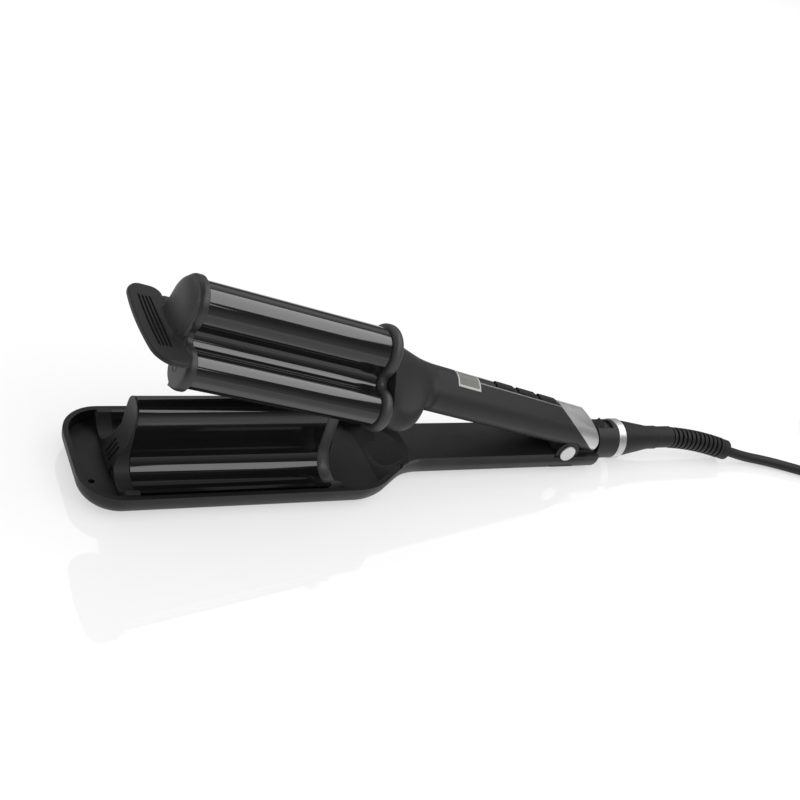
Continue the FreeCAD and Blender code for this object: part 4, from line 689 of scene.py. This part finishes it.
def egg_points(radius, count=49):
    """The egg's face, drawn flat in X and Y as (z, y): a disc on a stem as wide as the disc.

    A row at height z has the half width sqrt(r^2 - (z - top)^2) above the disc's centre and r below it.
    The rows lie at z = top + r - (r + stem) (1 - cos t), close together where the disc is narrow.
    """
    t = np.linspace(EGG_START, math.pi / 2, count)
    z = HUMP_HEIGHT + radius - (radius + EGG_STEM) * (1 - np.cos(t))
    half = np.where(z > HUMP_HEIGHT, np.sqrt(np.maximum(radius ** 2 - (z - HUMP_HEIGHT) ** 2, 0)), radius)
    share = np.sin(np.linspace(-math.pi / 2, math.pi / 2, count))
    return np.stack([np.repeat(z[:, None], count, 1), half[:, None] * share, np.zeros((count, count))], -1)


def face_on(points):
    """Drawn (z, y, rise) as points of the upper arm's frame, with the rise turned forward from the rim."""
    p = np.asarray(points)
    return on_upper(np.stack([RIM_FRONT + EGG_BACK - p[..., 2], p[..., 1], p[..., 0]], -1))


# The dome is a function of the reach, which is 0 at the disc's centre and 1 at its edge, and which grows
# more slowly down the stem. The lean brings the stem's foot forward.
egg = egg_points(EGG_RADIUS)
above, below = np.maximum(egg[..., 0] - HUMP_HEIGHT, 0), np.maximum(HUMP_HEIGHT - egg[..., 0], 0)
reach = np.clip(np.hypot(above + below * STEM_SHARE, egg[..., 1]) / EGG_RADIUS, 0, 1)
lean = EGG_LEAN * (HUMP_HEIGHT + EGG_RADIUS - egg[..., 0])
egg[..., 2] = EGG_RISE + EGG_DOME * (1 - reach ** 3) ** 0.5 + lean
# The egg takes the lighter copy of the case plastic, which is painted light.
tablet("egg_face", egg, EGG_EDGE, EGG_DEPTH, face_on, "painted_light_case", "upper_arm", smooth=60.0, wall=EGG_WALL)

# %% [markdown]
# ## The cool tip
# The plate in front of the cap is where a thumb may press the hot jaws together. It is drawn as a
# height over a plan with round corners, and its four grooves are dips in that height. The rows of the
# grid lie close together at each groove's walls, so that the walls stay steep.

# %% Cool tip
TIP_FRONT, TIP_BACK, TIP_HALF, TIP_TOP, TIP_UNDER = -283.4, -265.2, 31.3, 15.3, 12.7
TIP_CORNER, REAR_CORNER, TIP_EDGE, TIP_CROWN = 8.0, 4.5, 1.2, 0.35
GROOVE_FIRST, GROOVE_STEP, GROOVE_HALF, GROOVE_WIDE, GROOVE_DEEP = -279.4, 2.2, 20.5, 1.05, 1.0
FRONT_BOW, BOW_START, BOW_LONG = 2.8, -272.0, 10.0
SWEEP_LONG, SWEEP_RISE, SWEEP_HALF, SWEEP_FADE = 3.6, 3.2, 17.5, 3.0
ROOM_LONG, ROOM_HALF, ROOM_FADE = 3.6, 14.0, 3.5
groove_places = GROOVE_FIRST + GROOVE_STEP * np.arange(4)


def steps_round(centres, half, soft, low, high, spacing):
    """Numbers from low to high at a spacing, with extra ones on both sides of each wall of a dip."""
    walls = np.add.outer(centres, (-half, half))[..., None]
    near = (walls + (-soft, 0, soft)).ravel()
    regular = np.arange(low, high, spacing)
    keep = np.min(np.abs(regular[:, None] - near[None, :]), axis=1) > spacing * 0.3
    return np.unique(np.concatenate([regular[keep], near, [low, high]]))


def quarter(radius, distance):
    """How far a round corner pulls an edge in at a distance from its end: r - sqrt(r^2 - (r - d)^2)."""
    short = np.clip(radius - distance, 0, radius)
    return radius - np.sqrt(radius ** 2 - short ** 2)


tip_x = steps_round(groove_places, GROOVE_WIDE / 2, 0.12, TIP_FRONT, TIP_BACK, 0.6)
tip_t = steps_round([0.0], GROOVE_HALF, 0.15, -TIP_HALF, TIP_HALF, 1.2) / TIP_HALF
tip_width = TIP_HALF - quarter(TIP_CORNER, tip_x - TIP_FRONT) - quarter(REAR_CORNER, TIP_BACK - tip_x)
tip_y = tip_width[:, None] * tip_t[None, :]
in_groove = np.any(np.abs(tip_x[:, None] - groove_places[None, :]) < GROOVE_WIDE / 2 + 0.01, axis=1)
dip = in_groove[:, None] & (np.abs(tip_y) < GROOVE_HALF + 0.05)
# Closed jaws push the ridge's cap up behind the plate, so that the plate's middle ends further forward.
back_edge = TIP_BACK - ROOM_LONG * np.clip((ROOM_HALF - np.abs(tip_y)) / ROOM_FADE, 0, 1)
tip_at = np.minimum(tip_x[:, None], back_edge)
# The middle sweeps up towards the cap along a quarter ellipse, and the front edge is bowed.
climb = np.clip((tip_at - (back_edge - SWEEP_LONG)) / SWEEP_LONG, 0, 1)
climb = climb * np.clip((SWEEP_HALF - np.abs(tip_y)) / SWEEP_FADE, 0, 1)
sweep = SWEEP_RISE * (1 - np.sqrt(1 - climb ** 2))
tip_z = TIP_TOP - TIP_CROWN * (tip_y / TIP_HALF) ** 2 - GROOVE_DEEP * dip + sweep
front_share = np.clip((BOW_START - tip_x) / BOW_LONG, 0, 1)[:, None]
tip_grid = np.stack([tip_at + FRONT_BOW * (tip_y / TIP_HALF) ** 2 * front_share, tip_y, tip_z], -1)
tablet("cool_tip_skin", tip_grid, TIP_EDGE, TIP_EDGE, on_upper, "matte_case", "upper_arm", ("cool_tip",),
       smooth=50.0, level=TIP_UNDER)

# %% Cap screws
# Each screw sits in a recess coloured near black, a painted shade: rings of (depth behind the rim's front,
# radius) from the lip inwards.
SCREW_APART, SCREW_HEIGHT, SCREW_POINTS = 18.4, 3.4, 32
recess = ((-0.05, 2.2), (-0.12, 1.9), (0.5, 1.75), (1.0, 1.4), (1.0, 0.1))
round_screw = arc((0, 0), 1.0, 0, 360, SCREW_POINTS + 1)[:-1]
for side, word, replaced in ((-1, "near", ("tip_cap_screws",)), (1, "far", ())):
    rings = []
    for deep, radius in recess:
        ring = round_screw * radius + (side * SCREW_APART, SCREW_HEIGHT)
        rings.append(np.column_stack([np.full(SCREW_POINTS, RIM_FRONT + deep), ring]))
    put(f"cap_screw_{word}", on_upper(np.stack(rings)), grid_faces(len(recess), SCREW_POINTS, False, True),
        "painted_shadow_black", "upper_arm", replaced)

# %% [markdown]
# ## The rear cap of the ridge
# Behind the hot plate a smooth plastic cap carries the wave down to the dish. It is the plate's own
# rail again, swollen a little in the middle and let down towards the dish. In the valleys there is
# little room under it, so the let-down fades there with the height.

# %% Rear cap
REAR_FLOOR, PULL_FOOT, PULL_HEIGHT, PULL_LEAST = -9.3, -9.0, 5.0, 0.2
rear_pull = np.clip((wave_top[:, 1] - PULL_FOOT) / PULL_HEIGHT, PULL_LEAST, 1.0)
rear_floor = np.column_stack([wave_top[:, 0], np.full(len(wave_top), REAR_FLOOR)])
rear_profile = ((0.0, 0.5), (0.3, 0.05), (1.2, -0.4), (2.6, -0.8), (4.2, -0.8), (5.8, -0.4), (7.0, 0.5),
                (7.7, 1.7), (8.0, 3.4))
# The cap takes a much lighter copy of the case plastic: a painted highlight along its rounded band.
ribbon("ridge_rear_cap_skin", wave_top, rear_floor, [(PLATE_BACK + x, inset) for x, inset in rear_profile],
       on_lower, "painted_highlight_case", "lower_arm", ("ridge_rear_cap",), rear_pull, smooth=60.0)

# %% [markdown]
# ## The dish of the lower handle
# The cover sinks to the dish in a smooth bowl with a round edge. Carving is the natural way here: the
# CAD solid minus an ellipsoid, the set of points with (x/a)^2 + (y/b)^2 + (z/c)^2 = 1 about the bowl's
# centre. A Boolean modifier does the cut, and its result is kept as a plain mesh. The cut opens the
# hollow cover, so a lining with the bowl's own shape and the three slits lies in the opening.

# %% Bowl
BOWL_CENTRE, BOWL_REACH = np.array([-137.0, 0.0, 14.0]), np.array([38.0, 40.0, 24.0])


def carved(node, centre, reach, finish_name, rows=48, columns=96):
    """The welded CAD solid with an ellipsoid cut out of it.

    Its points are centre + reach (sin v cos u, sin v sin u, cos v), and a small flat closes each pole.
    """
    pole = 0.02
    v = np.linspace(pole, math.pi - pole, rows)[:, None]
    u = np.linspace(0, 2 * math.pi, columns + 1)[None, :-1]
    ball = np.stack([np.sin(v) * np.cos(u), np.sin(v) * np.sin(u), np.cos(v) * np.ones_like(u)], -1)
    faces = [tuple(face) for face in grid_faces(rows, columns, False, True)]
    faces += [tuple(range(columns))[::-1], tuple(range((rows - 1) * columns, rows * columns))]
    tool_mesh = bpy.data.meshes.new("bowl_tool")
    tool_mesh.from_pydata(on_lower(centre + ball * reach).reshape(-1, 3).tolist(), [],
                          [list(map(int, face)) for face in faces])
    solid_mesh = nodes[node].data.copy()
    for mesh in (tool_mesh, solid_mesh):
        weld(mesh, SAME_CAD_POINT)
    tool = in_scene("bowl_tool", tool_mesh)
    solid = in_scene("bowl_solid", solid_mesh)
    cut = solid.modifiers.new("bowl", "BOOLEAN")
    cut.operation, cut.solver, cut.object = "DIFFERENCE", "EXACT", tool
    result = bpy.data.meshes.new_from_object(solid.evaluated_get(bpy.context.evaluated_depsgraph_get()))
    for thing in (tool, solid):
        bpy.data.objects.remove(thing)
    result.materials.clear()
    print("faces of the carved cover:", len(result.polygons))
    return settle(node + "_skin", result, finish_name, body_of[node], (node,), 40.0)


# The cover takes the darker copy of the case plastic, painted shade in the dish.
carved("inner_cover", BOWL_CENTRE, BOWL_REACH, "painted_shade_case")

# %% Bowl lining
# The lining is a height over the plan. Near the middle the columns of its grid run straight along X, for
# the three slits. Further out they spread with the width between the casing's walls. In front it follows
# the cover's sloping end face, so that the shoulder clears it, and it stays a little under the cover's top.
SLIT_MIDDLE, SLIT_HALF, SLIT_WIDE, SLIT_DEEP, CORE = -119.5, 5.5, 1.3, 3.5, 6.0
LINING_FRONT, LINING_BACK, LINING_REACH, LINING_EDGE = -128.4, -105.4, 32.0, 0.3
SLOPE_FOOT, SLOPE_LONG, SLOPE_DEEP, SUNK, LINING_TOP = -128.0, 13.0, 9.6, 0.03, -0.6
slit_rows = np.array([-3.6, 0.0, 3.6])
lining_x = steps_round([SLIT_MIDDLE], SLIT_HALF, 0.15, LINING_FRONT, LINING_BACK, 0.6)[:, None]
across = steps_round(slit_rows, SLIT_WIDE / 2, 0.1, -LINING_REACH, LINING_REACH, 1.1)[None, :]
lining_half = np.interp(lining_x, [-128, -120, -113, -106], [24.6, 19.3, 15.0, 12.4])
spread = CORE + (np.abs(across) - CORE) * (lining_half - CORE) / (LINING_REACH - CORE)
lining_y = np.where(np.abs(across) <= CORE, across, np.sign(across) * spread)
inside = 1 - ((lining_x - BOWL_CENTRE[0]) / BOWL_REACH[0]) ** 2 - (lining_y / BOWL_REACH[1]) ** 2
bowl = BOWL_CENTRE[2] - BOWL_REACH[2] * np.sqrt(np.maximum(inside, 0))
slope = (lining_x - SLOPE_FOOT) * SLOPE_DEEP / SLOPE_LONG - SLOPE_DEEP
lining_z = np.minimum(np.minimum(bowl, slope) - SUNK, LINING_TOP)
by_slit = np.any(np.abs(lining_y[..., None] - slit_rows) < SLIT_WIDE / 2 + 0.02, axis=-1)
in_slit = (np.abs(lining_x - SLIT_MIDDLE) < SLIT_HALF + 0.02) & by_slit
lining = np.stack([lining_x + np.zeros_like(lining_y), lining_y, lining_z - SLIT_DEEP * in_slit], -1)
# The lining takes the same darker copy, painted shade in the dish.
tablet("bowl_lining", lining, LINING_EDGE, LINING_EDGE, on_lower, "painted_shade_case", "lower_arm", steps=2,
       smooth=50.0)

# %% [markdown]
# ## Moulded cases
# The rest of the body is moulded plastic, and its solids already have the right shape. Each one gets
# the radius of its mould and the finish of its slot.

# %% Moulded pieces
# Each row holds a node and its mould's radius.
for node, edge in (("ridge_tip_cap", 0.5), ("shoulder", 0.3), ("handle_base", 0.3), ("handle_shell", 0.4),
                   ("swivel_housing", 0.5), ("lock_slider", 0.35), ("top_panel", 0.15),
                   ("end_trim", 0.3), ("swivel_ring", 0.4), ("pin_disc_far", 0.3), ("pin_disc_near", 0.3),
                   ("casing_screws", 0.2), ("cord_boot", 0.4), ("strain_relief", 0.4),
                   ("plug_body", 0.5), ("plug_pins", 0.5)):
    moulded(node, edge)
# These differ a little in tone from their slot, and the row ends with the finish that they get.
# The lower casing's darker copy of the case plastic is painted shade.
for node, edge, finish_name in (("lower_casing", 0.9, "painted_shade_case"), ("display_frame", 0.3, "clear_rim"),
                                ("display_window", 0.15, "display_pane"),
                                ("panel_lines", 0.08, "line_silver"), ("key_minus", 0.35, "key_cap"),
                                ("key_power", 0.35, "key_cap"), ("key_plus", 0.35, "key_cap")):
    moulded(node, edge, finish_name)

# %% [markdown]
# ## The tie
# A thin strap is pulled tight round the wound lead. Its section is the outline that a string takes
# round circles: in the direction n it passes at a distance outside the lead's pass that lies furthest
# along n. Under the strap's width each pass turns a little, so it counts with three places.

# %% Tie
TIE_PLACE, TIE_PASSES, STRAP_POINTS = 150 / 360, 7, 96
STRAP_GAP, STRAP_THICK, STRAP_HALF, STRAP_EDGE = 0.12, 0.4, 2.0, 0.1
UNDER_STRAP = np.array([-0.014, 0.0, 0.014])
tie_angle = HEADING - math.pi / 2 + TIE_PLACE * 2 * math.pi
tie_out = np.array([math.cos(tie_angle), math.sin(tie_angle), 0.0])
tie_across = np.array([-math.sin(tie_angle), math.cos(tie_angle), 0.0])
pass_radius, pass_height = coil_line(np.add.outer(np.arange(TIE_PASSES) + TIE_PLACE, UNDER_STRAP))
passes = np.stack([pass_radius * np.cos(2 * math.pi * UNDER_STRAP), pass_height], -1).reshape(-1, 2)
normal = arc((0, 0), 1.0, 0, 360, STRAP_POINTS + 1)[:-1]
furthest = passes[np.argmax(normal @ passes.T, axis=1)]
low = CORD_DIAMETER / MM / 2 + STRAP_GAP
high, side = low + STRAP_THICK, STRAP_HALF - STRAP_EDGE
half_strap = ((low, side), (low + STRAP_EDGE, STRAP_HALF), (high - STRAP_EDGE, STRAP_HALF), (high, side))
strap = []
for distance, shift in [(distance, -shift) for distance, shift in half_strap] + list(half_strap[::-1]):
    section = furthest + normal * distance
    strap.append(coil_centre + section[:, :1] * tie_out + tie_across * shift + section[:, 1:] * (0, 0, 1))
strap_faces = grid_faces(len(strap), STRAP_POINTS, True, True)
put("cord_tie_skin", np.stack(strap) * MM, strap_faces, slot_of["cord_tie"], "cord_end", ("cord_tie",))

# %% [markdown]
# ## Floor
# The photograph stands the tool on glossy white board under a bright sweep. The board glows a little,
# as a light table does, so that its shadows stay faint. A clear coat gives the tool's faint mirror
# image. The glow grows with the distance from the middle, until the board is as white as the sweep.

# %% Floor
FLOOR_HALF = 2.4
floor_corners = [(x * FLOOR_HALF, y * FLOOR_HALF, 0) for x, y in ((-1, -1), (1, -1), (1, 1), (-1, 1))]
floor_mesh = bpy.data.meshes.new("studio_floor")
floor_mesh.from_pydata(floor_corners, [], [(0, 1, 2, 3)])
floor = in_scene("studio_floor", floor_mesh)
pale = bpy.data.materials.new("pale_floor")
pale.use_nodes = True
pale_tree = pale.node_tree
pale_shader = pale_tree.nodes["Principled BSDF"]
for socket, value in (("Base Color", (0.30, 0.30, 0.30, 1.0)), ("Roughness", 0.5),
                      ("Specular IOR Level", 0.0), ("Coat Weight", 1.0), ("Coat IOR", 1.9),
                      ("Coat Roughness", 0.03), ("Emission Color", (1.0, 1.0, 1.0, 1.0))):
    pale_shader.inputs[socket].default_value = value
where = pale_tree.nodes.new("ShaderNodeTexCoord")
far_off = pale_tree.nodes.new("ShaderNodeVectorMath")
far_off.operation = "LENGTH"
glow = pale_tree.nodes.new("ShaderNodeMapRange")
glow.interpolation_type = "SMOOTHSTEP"
for socket, value in (("From Min", 0.22), ("From Max", 0.85), ("To Min", 0.62), ("To Max", 1.3)):
    glow.inputs[socket].default_value = value
pale_tree.links.new(where.outputs["Object"], far_off.inputs[0])
pale_tree.links.new(far_off.outputs["Value"], glow.inputs["Value"])
pale_tree.links.new(glow.outputs["Result"], pale_shader.inputs["Emission Strength"])
floor_mesh.materials.append(pale)
